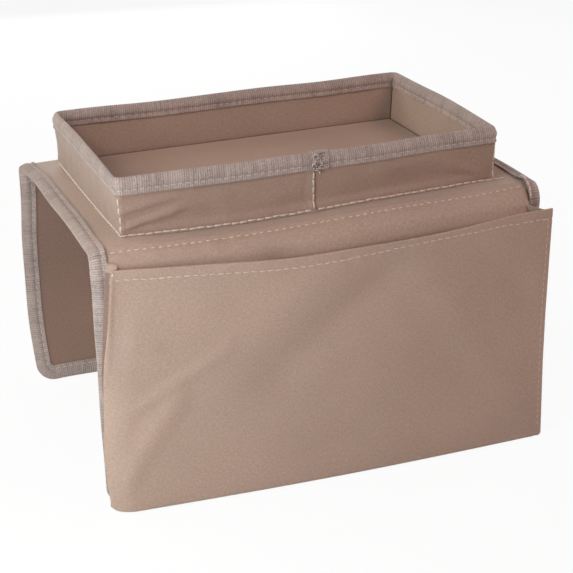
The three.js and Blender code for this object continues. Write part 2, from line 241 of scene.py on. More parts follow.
def cloth_material(name, colour, bump):
    """Plain weave: over-under = sin(pi u / pitch) * sin(pi v / pitch), with cloudy and streaky colour."""
    nodes = Nodes(name)
    uv, across, down = nodes.on_cloth()
    over_under = (across * (math.pi / YARN_PITCH)).sine() * (down * (math.pi / YARN_PITCH)).sine()
    crossing = abs(over_under) ** 0.6
    clouds = nodes.noise(uv, 15.0, 3.0)
    weft_streaks = nodes.noise(nodes.combine(across * 0.25, down), 1400.0, 1.0)
    warp_streaks = nodes.noise(nodes.combine(across, down * 0.25), 1400.0, 1.0)
    speckle = nodes.noise(uv, 720.0, 2.0)
    lightness = (
        0.5
        + (clouds - 0.5) * 0.5
        + (weft_streaks + warp_streaks - 1.0) * 0.65
        + (speckle - 0.5) * 1.15
        + (crossing - 0.6) * 0.35
        + over_under * 0.08
    )
    tone = nodes.mix(lightness, shade(colour, 0.80), shade(colour, 1.20))
    height = crossing * 0.7 + weft_streaks * 0.25 + warp_streaks * 0.25
    nodes.fill(nodes.shader, {
        "Base Color": tone,
        "Roughness": 0.60 + (clouds - 0.5) * 0.12,
        "Normal": nodes.bumped(height, bump),
        "Specular IOR Level": 0.5,
        "Sheen Weight": 0.30,
        "Sheen Roughness": 0.40,
        "Sheen Tint": (0.85, 0.97, 1.0, 1.0),
    })
    return nodes.material


cover_cloth = cloth_material("cover cloth", (0.424, 0.288, 0.225), 0.55)
# Painted shade: the tray wall cloth is the cover cloth made darker, for the shade on the tray's outer walls.
painted_shade_wall_cloth = cloth_material("tray wall cloth with painted shade", (0.367, 0.240, 0.184), 0.55)
# The lining cloth is darker than the cover partly as painted shade: it is darkened for the shade under the
# saddle, and it also stands for shade in the tray's inner corners, round the tray floor and in the left gusset.
lining_cloth = cloth_material("lining cloth", (0.272, 0.158, 0.120), 0.50)
tray_cloth = cloth_material("tray lining cloth", (0.430, 0.304, 0.243), 0.50)
floor_cloth = cloth_material("tray floor cloth", (0.404, 0.254, 0.189), 0.50)
cloths = (cover_cloth, painted_shade_wall_cloth, lining_cloth, tray_cloth, floor_cloth)
print("cloth materials:", [made.name for made in cloths])

# %% [markdown]
# ## Ribbed binding tape
# The raw edges are bound with grosgrain, a tape with thick ribs across it. The ribs are real ridges in the
# mesh. The material darkens the valleys between them, lets single ribs come out lighter or darker, and lays
# fine warp lines along the tape.

# %% Tape material
RIB_PITCH = 0.0016


def tape_material(name, colour):
    """Ribs: rib = (1 + cos(2 pi u / pitch)) / 2 along the tape, times noise that is constant across it."""
    nodes = Nodes(name)
    uv, along, across = nodes.on_cloth()
    rib = 0.5 + 0.5 * (along * (2 * math.pi / RIB_PITCH) + math.pi / 2).sine()
    single = nodes.noise(nodes.combine(along, across * 0.12), 520.0, 1.0)
    fine = nodes.noise(nodes.combine(along, across * 0.8), 900.0, 1.0)
    clouds = nodes.noise(uv, 60.0, 2.0)
    lightness = (
        0.28
        + rib * 0.40
        + (single - 0.5) * 0.7
        + (fine - 0.5) * 0.9
        + (clouds - 0.5) * 0.6
    )
    tone = nodes.mix(lightness, shade(colour, 0.52), shade(colour, 1.46))
    nodes.fill(nodes.shader, {
        "Base Color": tone,
        "Roughness": 0.72 + (fine - 0.5) * 0.2,
        "Normal": nodes.bumped(rib * 0.6 + fine * 0.4, 0.5),
        "Specular IOR Level": 0.4,
        "Sheen Weight": 0.15,
        "Sheen Roughness": 0.4,
    })
    return nodes.material


binding_tape = tape_material("binding tape", (0.375, 0.290, 0.262))
print("tape material:", binding_tape.name)

# %% [markdown]
# ## Thread and board
# The sewing thread is lighter than the cloth and has a slight shine, and its twisted fibres show as a fine
# grain. The stiffener board is pale fibre board. It is closed in by the cloth and shows nowhere, but it gets
# a quiet mottled finish all the same. Both read Object coordinates, since neither follows a weave.

# %% Thread and board materials
def thread_material(name, colour):
    """Thread: the colour times noise of about half a millimetre."""
    nodes = Nodes(name)
    place = nodes.node("ShaderNodeTexCoord", output="Object")
    grain = nodes.noise(place, 1800.0, 1.0)
    tone = nodes.mix(grain, shade(colour, 0.82), shade(colour, 1.12))
    nodes.fill(nodes.shader, {"Base Color": tone, "Roughness": 0.55, "Specular IOR Level": 0.45})
    return nodes.material


def board_material(name, colour):
    """Fibre board: fine mottling in colour and height."""
    nodes = Nodes(name)
    place = nodes.node("ShaderNodeTexCoord", output="Object")
    mottle = nodes.noise(place, 500.0, 3.0)
    tone = nodes.mix(mottle, shade(colour, 0.9), shade(colour, 1.06))
    nodes.fill(nodes.shader, {"Base Color": tone, "Roughness": 0.75, "Normal": nodes.bumped(mottle, 0.2)})
    return nodes.material


thread = thread_material("sewing thread", (0.66, 0.53, 0.445))
tape_thread = thread_material("tape's sewing thread", (0.66, 0.54, 0.49))
dark_thread = thread_material("worn thread", (0.20, 0.155, 0.135))
fibre_board = board_material("stiffener board", (0.68, 0.65, 0.58))
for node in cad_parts.values():
    node.data.materials.clear()
    node.data.materials.append(fibre_board)
print("thread and board materials are ready, and", len(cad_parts), "CAD nodes have the board's")

# %% [markdown]
# ## From a grid of points to a sheet of cloth
# Each sheet is a function of two parameters, worked out for a whole grid at once. Cloth has two faces, so a
# sheet is two grids a cloth's thickness apart, with a strip of faces round the rim that closes them. Seen from
# outside, the rows of a grid go down and the columns go right, which makes every face point outwards. A band
# that goes all round, such as a tray wall, repeats its first column as its last, and the two are then merged.

# %% Sheet builder
def points_at(*coordinates):
    """Points from their coordinates. Each may be a grid, a row, a column or one number for all."""
    return np.stack(np.broadcast_arrays(*coordinates), axis=-1)


def index_grid(rows, columns, first, closed):
    """Numbers of a grid's points, row by row from the first. A closed grid's last column is its first."""
    index = first + np.arange(rows * columns).reshape(rows, columns)
    if closed:
        index[:, -1] = index[:, 0]
    return index


def quads(a, b, c, d):
    """Four-cornered faces, from four arrays with the numbers of their corners."""
    return np.stack([a, b, c, d], axis=-1).reshape(-1, 4)


def mesh_object(name, points, faces, corner_uv, material):
    """An object at the origin from points in mm, faces and one UV for each face corner."""
    used, faces = np.unique(faces, return_inverse=True)
    mesh = bpy.data.meshes.new(name)
    mesh.from_pydata(((points[used] + SHIFT) * MM).tolist(), [], faces.reshape(-1, 4).tolist())
    mesh.uv_layers.new(name="cloth").data.foreach_set("uv", corner_uv.astype(np.float32).ravel())
    mesh.polygons.foreach_set("use_smooth", np.ones(len(mesh.polygons), bool))
    mesh.set_sharp_from_angle(angle=math.radians(60))
    mesh.materials.append(material)
    made = bpy.data.objects.new(name, mesh)
    bpy.context.scene.collection.objects.link(made)
    return made


def sheet(name, outer, inner, along, down, material, closed=False):
    """A closed sheet between two grids; along and down are its flat coordinates in mm, for the UV map."""
    rows, columns = outer.shape[:2]
    size = rows * columns
    flat = points_at(along, down).reshape(-1, 2) * MM
    points = np.concatenate([outer.reshape(-1, 3), inner.reshape(-1, 3)])
    parts = []
    for ring in (False, closed):
        o = index_grid(rows, columns, 0, ring)
        i = index_grid(rows, columns, size, ring)
        faces = [
            quads(o[:-1, :-1], o[1:, :-1], o[1:, 1:], o[:-1, 1:]),
            quads(i[:-1, :-1], i[:-1, 1:], i[1:, 1:], i[1:, :-1]),
            quads(o[0, :-1], o[0, 1:], i[0, 1:], i[0, :-1]),
            quads(o[-1, :-1], i[-1, :-1], i[-1, 1:], o[-1, 1:]),
        ]
        if not closed:
            faces.append(quads(o[:-1, 0], i[:-1, 0], i[1:, 0], o[1:, 0]))
            faces.append(quads(o[:-1, -1], o[1:, -1], i[1:, -1], i[:-1, -1]))
        parts.append(np.concatenate(faces))
    unjoined, joined = parts
    corner_uv = np.concatenate([flat, flat])[unjoined.reshape(-1)]
    made = mesh_object(name, points, joined, corner_uv, material)
    print(f"{name}: {len(made.data.polygons)} faces")
    return made


# %% [markdown]
# ## Small shapes that cloth makes
# A few helpers describe all the unevenness: a soft ridge across a distance, a smooth climb from 0 to 1, a
# crease that runs from one point of a sheet to another and fades at both ends, and a gentle random ripple made
# of a few sine waves. The ripple's waves come from a seeded generator, so every run gives the same cloth. Two
# more measure a grid: its normals, and how far along a line its points are.

# %% Ridges, creases and ripples
def ridge(distance, width):
    """A bell curve: 1 where the distance is 0, and almost 0 beyond twice the width."""
    return np.exp(-((distance / width) ** 2))


def ease(share):
    """0 up to 0, 1 from 1 on, and a smooth climb between."""
    share = np.clip(share, 0.0, 1.0)
    return share * share * (3.0 - 2.0 * share)


def crease(x, y, start, end, width, height):
    """A soft fold of a sheet along the line from start to end, which fades out at both ends."""
    run = np.subtract(end, start)
    length = math.hypot(*run)
    share = ((x - start[0]) * run[0] + (y - start[1]) * run[1]) / length**2
    aside = ((x - start[0]) * run[1] - (y - start[1]) * run[0]) / length
    return height * ridge(aside, width) * ease(share * 4) * ease((1 - share) * 4)


def creases(x, y, folds):
    """The sum of several creases. Each fold is its start, end, width and height, below 0 for a dent."""
    return sum(crease(x, y, *fold) for fold in folds)


def ripple(x, y, wavelength, seed, waves=7):
    """A sum of sine waves near one wavelength, with random directions and phases; about -1 to 1."""
    random = np.random.default_rng(seed)
    total = 0.0
    for _ in range(waves):
        turn, phase = random.uniform(0, 2 * math.pi, 2)
        number = 2 * math.pi / (wavelength * random.uniform(0.7, 1.5))
        total = total + np.sin(number * (x * math.cos(turn) + y * math.sin(turn)) + phase)
    return total / math.sqrt(waves) / 1.4


def grid_normals(points):
    """Outward unit normals of a grid whose rows go down and columns right: down step x right step."""
    normal = np.cross(np.gradient(points, axis=0), np.gradient(points, axis=1))
    return normal / np.maximum(np.linalg.norm(normal, axis=-1, keepdims=True), 1e-9)


def run_length(points):
    """How far along the line each of its points is."""
    steps = np.linalg.norm(np.diff(points, axis=0), axis=1)
    return np.concatenate([[0.0], np.cumsum(steps)])


print("a ridge at 0, 1 and 2 widths:", np.round(ridge(np.arange(3.0), 1.0), 3).tolist())

# %% [markdown]
# ## The line that each side follows
# Cover, board, lining and tape all follow one line in Y and Z: flat from the middle of the saddle, round a
# quarter turn at the fold, and down the hanging panel. At the back the panel leans out in a bow. The line is
# kept as a table against its own length, so that any layer of any sheet can look up its place and the
# direction that points out of it. The board stops short of the edges, so the layers are pinched together there.

# %% Side lines
BOW_SKEW = 1.3
FLAT_POINTS = 99


def side_line(sign, face, radius, bow, further):
    """Flat to the fold, a quarter circle, then face + bow * sin(pi * fall^skew) down to the floor.

    The fold lies further mm out than the face, and the panel comes back to the face on its way down.
    """
    start = face + further - radius
    turn = np.linspace(0, math.pi / 2, 41)[1:]
    fall = np.linspace(0, 1, 241)[1:]
    out = np.concatenate([
        np.linspace(0, start, FLAT_POINTS),
        start + radius * np.sin(turn),
        face + further * (1 - fall) + bow * np.sin(math.pi * fall**BOW_SKEW),
    ])
    up = np.concatenate([
        np.full(FLAT_POINTS, HEIGHT),
        HEIGHT - radius + radius * np.cos(turn),
        (HEIGHT - radius) * (1 - fall),
    ])
    line = np.stack([out, up], axis=1)
    length = run_length(line)
    slope = np.gradient(line, length, axis=0)
    slope /= np.linalg.norm(slope, axis=1)[:, None]
    return {
        "sign": sign,
        "face": face,
        "radius": radius,
        "length": length,
        "table": np.stack([out, up, -slope[:, 1], slope[:, 0]]),
        "fold_start": start,
        "fold_end": start + radius * math.pi / 2,
        "foot": length[-1],
    }


PINCH = 0.42
DRAWN_IN = 2.1
SAG = 3.0
SAG_BESIDE = -58.0


def pinched(depth, inset):
    """Depth squeezed towards the middle of the sandwich, by PINCH at the edge and not at all 6 mm in."""
    keep = 1.0 - PINCH * (1.0 - ease((inset - 0.5) / 5.5))
    return SANDWICH / 2 + (depth - SANDWICH / 2) * keep


def front_sag(x, v):
    """How far the saddle sinks towards its front edge, deepest left of the middle. The panel hangs true."""
    toward_edge = ease(v / 84.0) * (1 - ease((v - 118.0) / 110.0))
    return SAG * ridge(x - SAG_BESIDE, 85.0) * toward_edge


def on_side(side, x, v, depth):
    """The point at x and at v along the side's line, depth mm below the outer face.

    The inset is measured from an outline with two straight sides and two round corners. The cloth's two ends
    aren't quite straight: the saddle's rise between the folds, and the panels' stray by up to 2 mm.
    """
    beside, below = np.abs(x) - (HALF_LENGTH - CORNER_RADIUS), v - (side["foot"] - CORNER_RADIUS)
    past_corner = np.hypot(np.maximum(beside, 0), np.maximum(below, 0))
    past_corner = past_corner + np.minimum(np.maximum(beside, below), 0)
    depth = pinched(depth, CORNER_RADIUS - past_corner)
    out, up, out_y, out_z = (np.interp(v, side["length"], row) for row in side["table"])
    y = side["sign"] * (out - depth * out_y)
    at_left, at_right = ease((-x - 100.0) / 65.0), ease((x - 100.0) / 65.0)
    past_fold = v - side["fold_start"]
    between = 1 - ease((past_fold + 34.0) / 36.0)
    if side["sign"] < 0:
        x = x - DRAWN_IN * ridge(past_fold - 20.0, 28.0) * at_right
        x = x + (0.9 * between - 1.0 * ridge(past_fold - 18.0, 12.0)) * at_left
        raised = (1.1 * at_left + 1.3 * at_right) * (1 - ease(past_fold / 14.0)) * ease(v / 60.0)
        z = up - depth * out_z - front_sag(x, v) + raised
    else:
        x = x + (0.9 * between - 1.3 * ridge(past_fold - 14.0, 40.0)) * at_left
        z = up - depth * out_z + 1.1 * at_left * between * ease(v / 60.0)
    return points_at(x, y, z)


front = side_line(-1, face=109.0, radius=12.0, bow=0.0, further=0.0)
back = side_line(1, face=98.0, radius=10.0, bow=23.0, further=4.0)
sides = {"front": front, "back": back}
for name, side in sides.items():
    print(f"{name} line: {side['foot']:.1f} mm from the middle of the saddle to the foot")

# %% [markdown]
# ## How the sandwich gives
# The stiffened sandwich is nearly flat, and still a real one has no straight edge. All of its layers share one
# slow unevenness: the sides of the saddle rise and sink a little, and the panels are faintly wavy. Where the
# cover has no board behind it, at the fold, it is pinched in along a row of stitches and puffs out below it.

# %% Unevenness of the layers
def sway(side, x, v):
    """Slow waves of the whole sandwich in mm outwards, larger at its ends, and a square right shoulder."""
    edge = ease((np.abs(x) - 120.0) / 45.0)
    hang = ease((v - side["fold_end"]) / 60.0)
    waves = ripple(x, v, 130.0, 3 if side is front else 4)
    shoulder = 1.8 * ridge(v - side["fold_start"] - 9.0, 9.0) * ease((x - 110.0) / 50.0)
    shoulder = shoulder * (side is front)
    return waves * (0.25 + 0.50 * edge + 0.5 * hang * (side is back)) * ease(v / 50.0) + shoulder


FOLD_ROW_TURN = math.radians(30)
fold_row = front["fold_start"] + front["radius"] * FOLD_ROW_TURN
print(f"the fold's row of stitches lies {fold_row:.1f} mm along the front line")


def cover_puff(side, x, v):
    """The cover over the front fold: a groove at the stitch row, a swelling below it, and small puckers."""
    if side is back:
        roll = ridge(v - (back["fold_start"] + 8.0), 9.0)
        return roll * (0.5 + 0.35 * ripple(x, v * 0.3, 30.0, 12))
    below = v - fold_row
    groove = -0.9 * ridge(below, 1.6)
    height = 4.4 + 7.2 * ease((x + 145.0) / 110.0) - 3.2 * ridge(x + 40.0, 15.0) * ease(below / 14.0)
    swell = height * ridge(below - 19.0, 12.0) * (1 + 0.08 * ripple(x, v * 0.2, 46.0, 11))
    above = 0.45 * ridge(below + 6.0, 4.0)
    pucker = 0.26 * ripple(x, v * 0.25, 10.0, 13) * ridge(below - 3.0, 8.0)
    return (groove + swell + above + pucker) * ease((HALF_LENGTH - 9.0 - np.abs(x)) / 8.0)


# %% [markdown]
# ## Cover and lining
# On the real organizer one long sheet covers the saddle and both panels, and another lines them. Here each is
# split across the middle of the saddle, under the tray, because a sheet can blend between two bodies only
# across one fold. Each half runs from there over its fold to the foot of its panel, where its two corners are
# cut round.

# %% Cover and lining sheets
def cut_half(side, half, v, inset):
    """Half the width of the cut at v: constant, and drawn in by a quarter circle at the panel's corners."""
    radius = CORNER_RADIUS - inset
    past = np.clip(v - (side["foot"] - CORNER_RADIUS), 0.0, radius)
    return half - radius + np.sqrt(np.maximum(radius**2 - past**2, 0.0))


def rows_to_foot(side, inset, step):
    """Places down the sheet, closer together at the fold and at the round corners."""
    foot = side["foot"]
    marks = [0.0, side["fold_start"] - 4.0, side["fold_end"] + 18.0, foot - CORNER_RADIUS, foot - inset]
    steps = [step * 1.5, step * 0.6, step, step * 0.45]
    runs = [np.arange(a, b, s) for a, b, s in zip(marks[:-1], marks[1:], steps)]
    return np.concatenate(runs + [[marks[-1]]])


def side_sheet(name, side, depth, thickness, inset, puff, material, step=2.2):
    """A layer of one side of the organizer, from the middle of the saddle to the foot of the panel."""
    v = rows_to_foot(side, inset, step)[:, None]
    across = -side["sign"] * np.linspace(-1, 1, int(2 * HALF_LENGTH / step))[None, :]
    x = across * cut_half(side, HALF_LENGTH - inset, v, inset)
    lift = sway(side, x, v) + puff(side, x, v)
    outer = on_side(side, x, v, depth - lift)
    inner = on_side(side, x, v, depth + thickness - lift)
    return sheet(name, outer, inner, x, v, material)


def lining_puff(side, x, v):
    """The lining wrinkles into the corner of the fold and hangs in slow upright waves below it."""
    corner = 0.35 * ripple(x, v * 0.4, 26.0, 21) * ridge(v - side["fold_end"], 12.0)
    hanging = ease((v - side["fold_end"]) / 40.0) * ease((side["foot"] - 14.0 - v) / 25.0)
    free = ease((HALF_LENGTH - 14.0 - np.abs(x)) / 25.0)
    return corner - 0.55 * (1 + ripple(x, v * 0.25, 70.0, 22)) * hanging * free * (side is back)


def blend_at_fold(piece, side):
    """Bakes the piece's place into its mesh. The fold's start and end are worked out, but nothing uses them."""
    start = np.array([0.0, side["sign"] * side["fold_start"], HEIGHT])
    end = np.array([0.0, side["sign"] * side["face"], HEIGHT - side["radius"]])
    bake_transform(piece)


for name, side in sides.items():
    cover = side_sheet(f"cover_{name}", side, 0.0, CLOTH, TAPE_PROUD, cover_puff, cover_cloth)
    # The lining's darker cloth is partly painted shade under the saddle.
    lining = side_sheet(f"lining_{name}", side, LINING_DEPTH, CLOTH, TAPE_PROUD, lining_puff, lining_cloth)
    for piece, layer, slot in ((cover, "cover", "cover_cloth"), (lining, "lining", "lining_cloth")):
        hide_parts(f"top_{layer}", f"{name}_fold_{layer}", f"{name}_{layer}")
        side["foot"] * MM
        blend_at_fold(piece, side)

# %% [markdown]
# ## Stiffener boards
# The boards are hidden, but they carry the shape. They follow the same lines and the same slow waves as the
# cloth on them, so nothing pokes through it.

# %% Boards of the saddle and the panels
BOARD_INSET = 5.0


def side_board(name, side, v_from, v_to, body, node):
    """A board between two places along a side's line, with round corners where it reaches the foot."""
    v = np.linspace(v_from, v_to, 60)[:, None]
    across = -side["sign"] * np.linspace(-1, 1, 80)[None, :]
    x = across * cut_half(side, HALF_LENGTH - BOARD_INSET, v, BOARD_INSET)
    lift = sway(side, x, v)
    outer = on_side(side, x, v, BOARD_DEPTH - lift)
    inner = on_side(side, x, v, BOARD_DEPTH + BOARD - lift)
    made = sheet(name, outer, inner, x, v, fibre_board)
    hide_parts(node)
    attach(made, body)


for name, side in sides.items():
    stop, free, foot = side["fold_start"] - 2 * GAP, side["fold_end"] + GAP, side["foot"] - BOARD_INSET
    side_board(f"board_saddle_{name}", side, 0.0, stop, "saddle", "top_board")
    side_board(f"board_panel_{name}", side, free, foot, f"{name}_panel", f"{name}_board")

# %% [markdown]
# ## Bent tape
# A binding tape is folded over a raw edge and sewn through. Its section is a U: two flat arms, a round turn,
# a groove where the stitches pull it in, and a free edge that lifts a little beyond them. The section is
# worked out once, in two numbers: how far in from the edge it is, and how deep below the outer face. Carried
# along any edge, it binds it. Ribs are added to the outer skin as a fine wave along the tape.

# %% Section of the tape
STITCH_INSET = 8.2
STITCH_GROOVE = 0.42
RIB_HEIGHT = 0.10
ARM_INSETS = np.array([11.0, 10.3, 9.4, 8.8, 8.2, 7.6, 6.8, 5.6, 4.4, 3.3])


def tape_section(layers):
    """Outer and inner skin of the U, each as rows of (inset, depth), from the outer face to the inner one."""
    radius = layers / 2 + TAPE_PROUD
    turn = np.linspace(0, math.pi, 9)[1:-1]
    groove = STITCH_GROOVE * ridge(ARM_INSETS - STITCH_INSET, 1.0)
    swell = 0.30 * ridge(ARM_INSETS - 4.6, 2.6)
    lifted = 0.16 * ease((ARM_INSETS - STITCH_INSET - 0.8) / 2.0)
    arm_depth = -TAPE_PROUD + groove - swell - lifted
    outer = np.concatenate([
        np.stack([ARM_INSETS, arm_depth], axis=1),
        np.stack([0.8 * radius * (1 - np.sin(turn)), layers / 2 - radius * np.cos(turn)], axis=1),
        np.stack([ARM_INSETS[::-1], layers - arm_depth[::-1]], axis=1),
    ])
    slope = np.gradient(outer, axis=0)
    slope /= np.linalg.norm(slope, axis=1)[:, None]
    inward = np.stack([slope[:, 1], -slope[:, 0]], axis=1)
    return outer, inward, run_length(outer)


section_outer, section_inward, section_length = tape_section(SANDWICH)
stitch_depth = -TAPE_PROUD + STITCH_GROOVE
print(f"tape: {section_length[-1]:.1f} mm wide when flat, {len(section_outer)} points across it")

# %% Tape carried along an edge
def tape_piece(name, along, place, extra=0.0, reverse=False, closed=False):
    """Carries the section along an edge. place(inset, depth) gives the points of the organizer."""
    rib = RIB_HEIGHT * (0.5 + 0.5 * np.cos(2 * math.pi * along / (RIB_PITCH / MM)))
    skins = []
    for into in (-extra - rib, -extra + TAPE):
        reach = np.broadcast_to(into, along.shape)[None, :]
        inset = section_outer[:, :1] + section_inward[:, :1] * reach
        depth = section_outer[:, 1:] + section_inward[:, 1:] * reach
        grid = place(inset, depth)
        skins.append(grid[::-1] if reverse else grid)
    down = (section_length[::-1] if reverse else section_length)[:, None]
    return sheet(name, *skins, along[None, :], down, binding_tape, closed)


# %% [markdown]
# ## Edge tape of the saddle and the panels
# From the middle of the saddle one tape runs out along its left edge, over the fold, down the panel, round the
# corner, along the foot and back up the right edge. The path is drawn in the flat sheet, as a place across, a
# place down and the direction that points into the sheet. The side's line then folds it up with the cloth.

# %% Path round a side
def edge_path(side, spacing):
    """Left edge, round corner, foot, round corner and right edge, as points and inward directions."""
    straight = side["foot"] - CORNER_RADIUS
    across = HALF_LENGTH - CORNER_RADIUS
    turn = np.linspace(0, math.pi / 2, 40)
    ones, zeros = np.ones_like(turn), np.zeros_like(turn)
    left = np.stack([-HALF_LENGTH * ones, np.linspace(0, straight, 40), ones, zeros], axis=1)
    corner = np.stack([-np.cos(turn), np.sin(turn)], axis=1)
    left_corner = np.concatenate([corner * CORNER_RADIUS + [-across, straight], -corner], axis=1)
    foot = np.stack([np.linspace(-across, across, 40), side["foot"] * ones, zeros, -ones], axis=1)
    mirror = np.array([-1.0, 1.0, -1.0, 1.0])
    right_corner, right = (left_corner * mirror)[::-1], (left * mirror)[::-1]
    whole = np.concatenate([left, left_corner[1:], foot[1:], right_corner[1:], right[1:]])
    length = run_length(whole[:, :2])
    along = np.linspace(0, length[-1], int(length[-1] / spacing) + 1)
    return along, np.stack([np.interp(along, length, column) for column in whole.T], axis=1)


def lip(side, x, v, inset, depth):
    """Lift of the outer arm's free edge: a little all along, and more where the tape bends over a fold."""
    bend = ridge(v - (side["fold_start"] + 5.0), 13.0) * np.where(x > 0, 2.0, 0.25)
    loose = 0.16 * (1 + ripple(v, x, 38.0, 14))
    return (bend + loose) * ease((inset - 6.0) / 4.5) * (depth < SANDWICH / 2)


def near_edge(side, path, inset, depth):
    """Points at an inset from the path and a depth below the outer face, on an edge that wavers a little."""
    waver = 0.45 * ripple(path[:, 0], path[:, 1], 70.0, 15)
    across = path[:, 0] + path[:, 2] * (inset + waver)
    v = path[:, 1] + path[:, 3] * (inset + waver)
    x = -side["sign"] * across
    return on_side(side, x, v, depth - sway(side, x, v) - lip(side, x, v, inset, depth))


for name, side in sides.items():
    along, path = edge_path(side, RIB_PITCH / MM / 2)
    edge_tape = tape_piece(f"edge_tape_{name}", along, lambda i, d: near_edge(side, path, i, d))
    nodes_bound = [f"{name}_fold_binding_left", f"{name}_fold_binding_right", f"{name}_binding"]
    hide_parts("saddle_binding_left", "saddle_binding_right", *nodes_bound)
    flat = (along[-1] * MM, section_length[-1] * MM)
    blend_at_fold(edge_tape, side)

# %% [markdown]
# ## The tray
# The tray is a low wall of board between two bands of cloth, bent round at the corners and sewn to the saddle
# along its foot. A wall point is given by how far round it is, how high it is and how deep in the wall. The
# outer band meets itself at the middle of the front, where its left end laps over its right one. The outer
# band's cloth is a darker copy of the cover cloth, as painted shade. The inner band's faces in the corners, and
# its foot in the gap round the floor, take the darker lining cloth as painted shade in these crevices.

# %% Wall of the tray
TRAY_HALF_LENGTH = 138.5
TRAY_HALF_WIDTH = 84.0
TRAY_RADIUS = 3.0
RIM_ROUNDING = 3.5
TIGHTEST = 0.5
FRONT_BELLY = 2.0
FRONT_HOLLOW = 1.4
TRAY_HEIGHT = 40.0
SEAM_X = -1.0
CORE_X = TRAY_HALF_LENGTH - TRAY_RADIUS
CORE_Y = TRAY_HALF_WIDTH - TRAY_RADIUS
ARC_POINTS = 25
CORNERS = {"front_right": (1, -1), "back_right": (1, 1), "back_left": (-1, 1), "front_left": (-1, -1)}


def tray_line():
    """The wall's line, anticlockwise from the front seam: its length, and rows of core point and way out."""
    parts = [[[SEAM_X, -CORE_Y, 0, -1]]]
    for corner, (to_right, to_back) in enumerate(CORNERS.values()):
        turn = np.linspace(corner - 1, corner, ARC_POINTS) * math.pi / 2
        core_x, core_y = to_right * CORE_X + 0 * turn, to_back * CORE_Y + 0 * turn
        parts.append(np.stack([core_x, core_y, np.cos(turn), np.sin(turn)], axis=1))
    parts.append(parts[0])
    whole = np.concatenate(parts)
    return run_length(whole[:, :2] + TRAY_RADIUS * whole[:, 2:]), whole


tray_length, tray_table = tray_line()
TRAY_ROUND = tray_length[-1]
CORNER_STARTS = {name: 1 + ARC_POINTS * number for number, name in enumerate(CORNERS)}
corner_at = {name: tray_length[k + ARC_POINTS // 2] for name, k in CORNER_STARTS.items()}


def front_bow(x, up):
    """How far the front wall stands forward of a flat one: spread at the foot, and hollow above that."""
    across = np.clip(np.abs(x) / TRAY_HALF_LENGTH, 0, 1)
    middle, wide = 1 - across**2, 1 - across**6
    spread = (0.4 * FRONT_BELLY * middle + 0.72 * FRONT_HOLLOW * wide) * ridge(up, 5.0)
    return spread - FRONT_HOLLOW * wide * ridge(up - 8.0, 11.0) + FRONT_BELLY * middle


def lean(x, y, share):
    """How far a wall point moves along x: the left and right walls bulge, and lean out towards the rim."""
    left, right = (np.clip(way * x / TRAY_HALF_LENGTH, 0, 1) ** 6 for way in (-1, 1))
    bulge = 1 - (y / TRAY_HALF_WIDTH) ** 2
    near_front = ridge(y + TRAY_HALF_WIDTH, 55.0)
    leftward = 2.0 * share * (1 - near_front) + 0.9 * (1 - share) * bulge
    leftward = leftward + (3.0 * share**3 - 0.7 * (1 - share)) * near_front
    rightward = share * (1.2 + 3.0 * bulge + 0.8 * ease(y / TRAY_HALF_WIDTH)) - 0.8 * (1 - share)
    return right * rightward - left * leftward


def tray_point(u, up, depth):
    """The point u mm round the tray, up mm above the saddle and depth mm in from the wall's outer face.

    Out to the radius it is core + way * radius. Deeper than the radius, the core shrinks and the corner stays
    as tight as cloth can be bent, so that the inner layers have sharp corners and don't cross themselves. The
    front wall is bowed, and the rim has rounder corners than the foot, least so at the front right. The left
    and right walls lean out at the rim, its back left corner stands a little high, and the foot follows the
    saddle's sag.
    """
    core_x, core_y, way_x, way_y = (np.interp(np.mod(u, TRAY_ROUND), tray_length, c) for c in tray_table.T)
    share = up / TRAY_HEIGHT
    bow = front_bow(core_x, up) * np.clip(-way_y, 0, 1) + 0.5 * ripple(u, 0.0, 120.0, 31) * share
    radius = TRAY_RADIUS + bow - pinched(depth, TRAY_HEIGHT - up)
    front_right = np.clip(core_x / CORE_X, 0, 1) ** 2 * np.clip(-core_y / CORE_Y, 0, 1) ** 2
    tight = np.maximum(radius + RIM_ROUNDING * (1 - 0.6 * front_right) * np.clip(share, 0, 1) ** 2, TIGHTEST)
    x = core_x * (CORE_X - tight + radius) / CORE_X + way_x * tight
    y = core_y * (CORE_Y - tight + radius) / CORE_Y + way_y * tight
    lifted = 1.1 * np.clip(-x / TRAY_HALF_LENGTH, 0, 1) ** 2 * np.clip(y / TRAY_HALF_WIDTH, 0, 1)
    rim_wave = (lifted + 0.35 * ripple(u, 0.0, 90.0, 32)) * share
    foot_sag = front_sag(x, np.maximum(-y, 0.0)) * (1 - share)
    z = HEIGHT + up + rim_wave - foot_sag
    return points_at(x + lean(x, y, share), y, z)


rounded = {name: round(place, 1) for name, place in corner_at.items()}
print(f"the tray's wall is {TRAY_ROUND:.1f} mm round, with corners at", rounded)


def round_steps(start, end, step):
    """Places round the tray at even steps, with closer ones through each corner."""
    corners = [
        np.linspace(tray_length[k] - 1.5, tray_length[k + ARC_POINTS - 1] + 1.5, 15)
        for k in CORNER_STARTS.values()
    ]
    steps = np.concatenate([np.arange(start, end, step), *corners])
    return np.append(np.unique(steps[steps < end - 0.2].round(3)), end)


# %% Cloth bands and wall boards
LEFT_PUCKERS = [
    ((-4, 5), (48, 17), 2.8, 1.5),
    ((-6, 17), (42, 25), 3.0, 1.0),
    ((-6, 11), (34, 19), 2.0, -1.2),
    ((-4, 1), (22, 7), 2.4, -1.2),
    ((60, 6), (128, 14), 6.0, 0.5),
    ((40, 24), (125, 22), 6.0, -0.6),
]
RIGHT_PUCKERS = [
    ((0, 4), (45, 20), 4.0, 0.9),
    ((2, 1), (60, 12), 3.5, -0.7),
    ((30, 26), (110, 20), 6.0, 0.6),
]


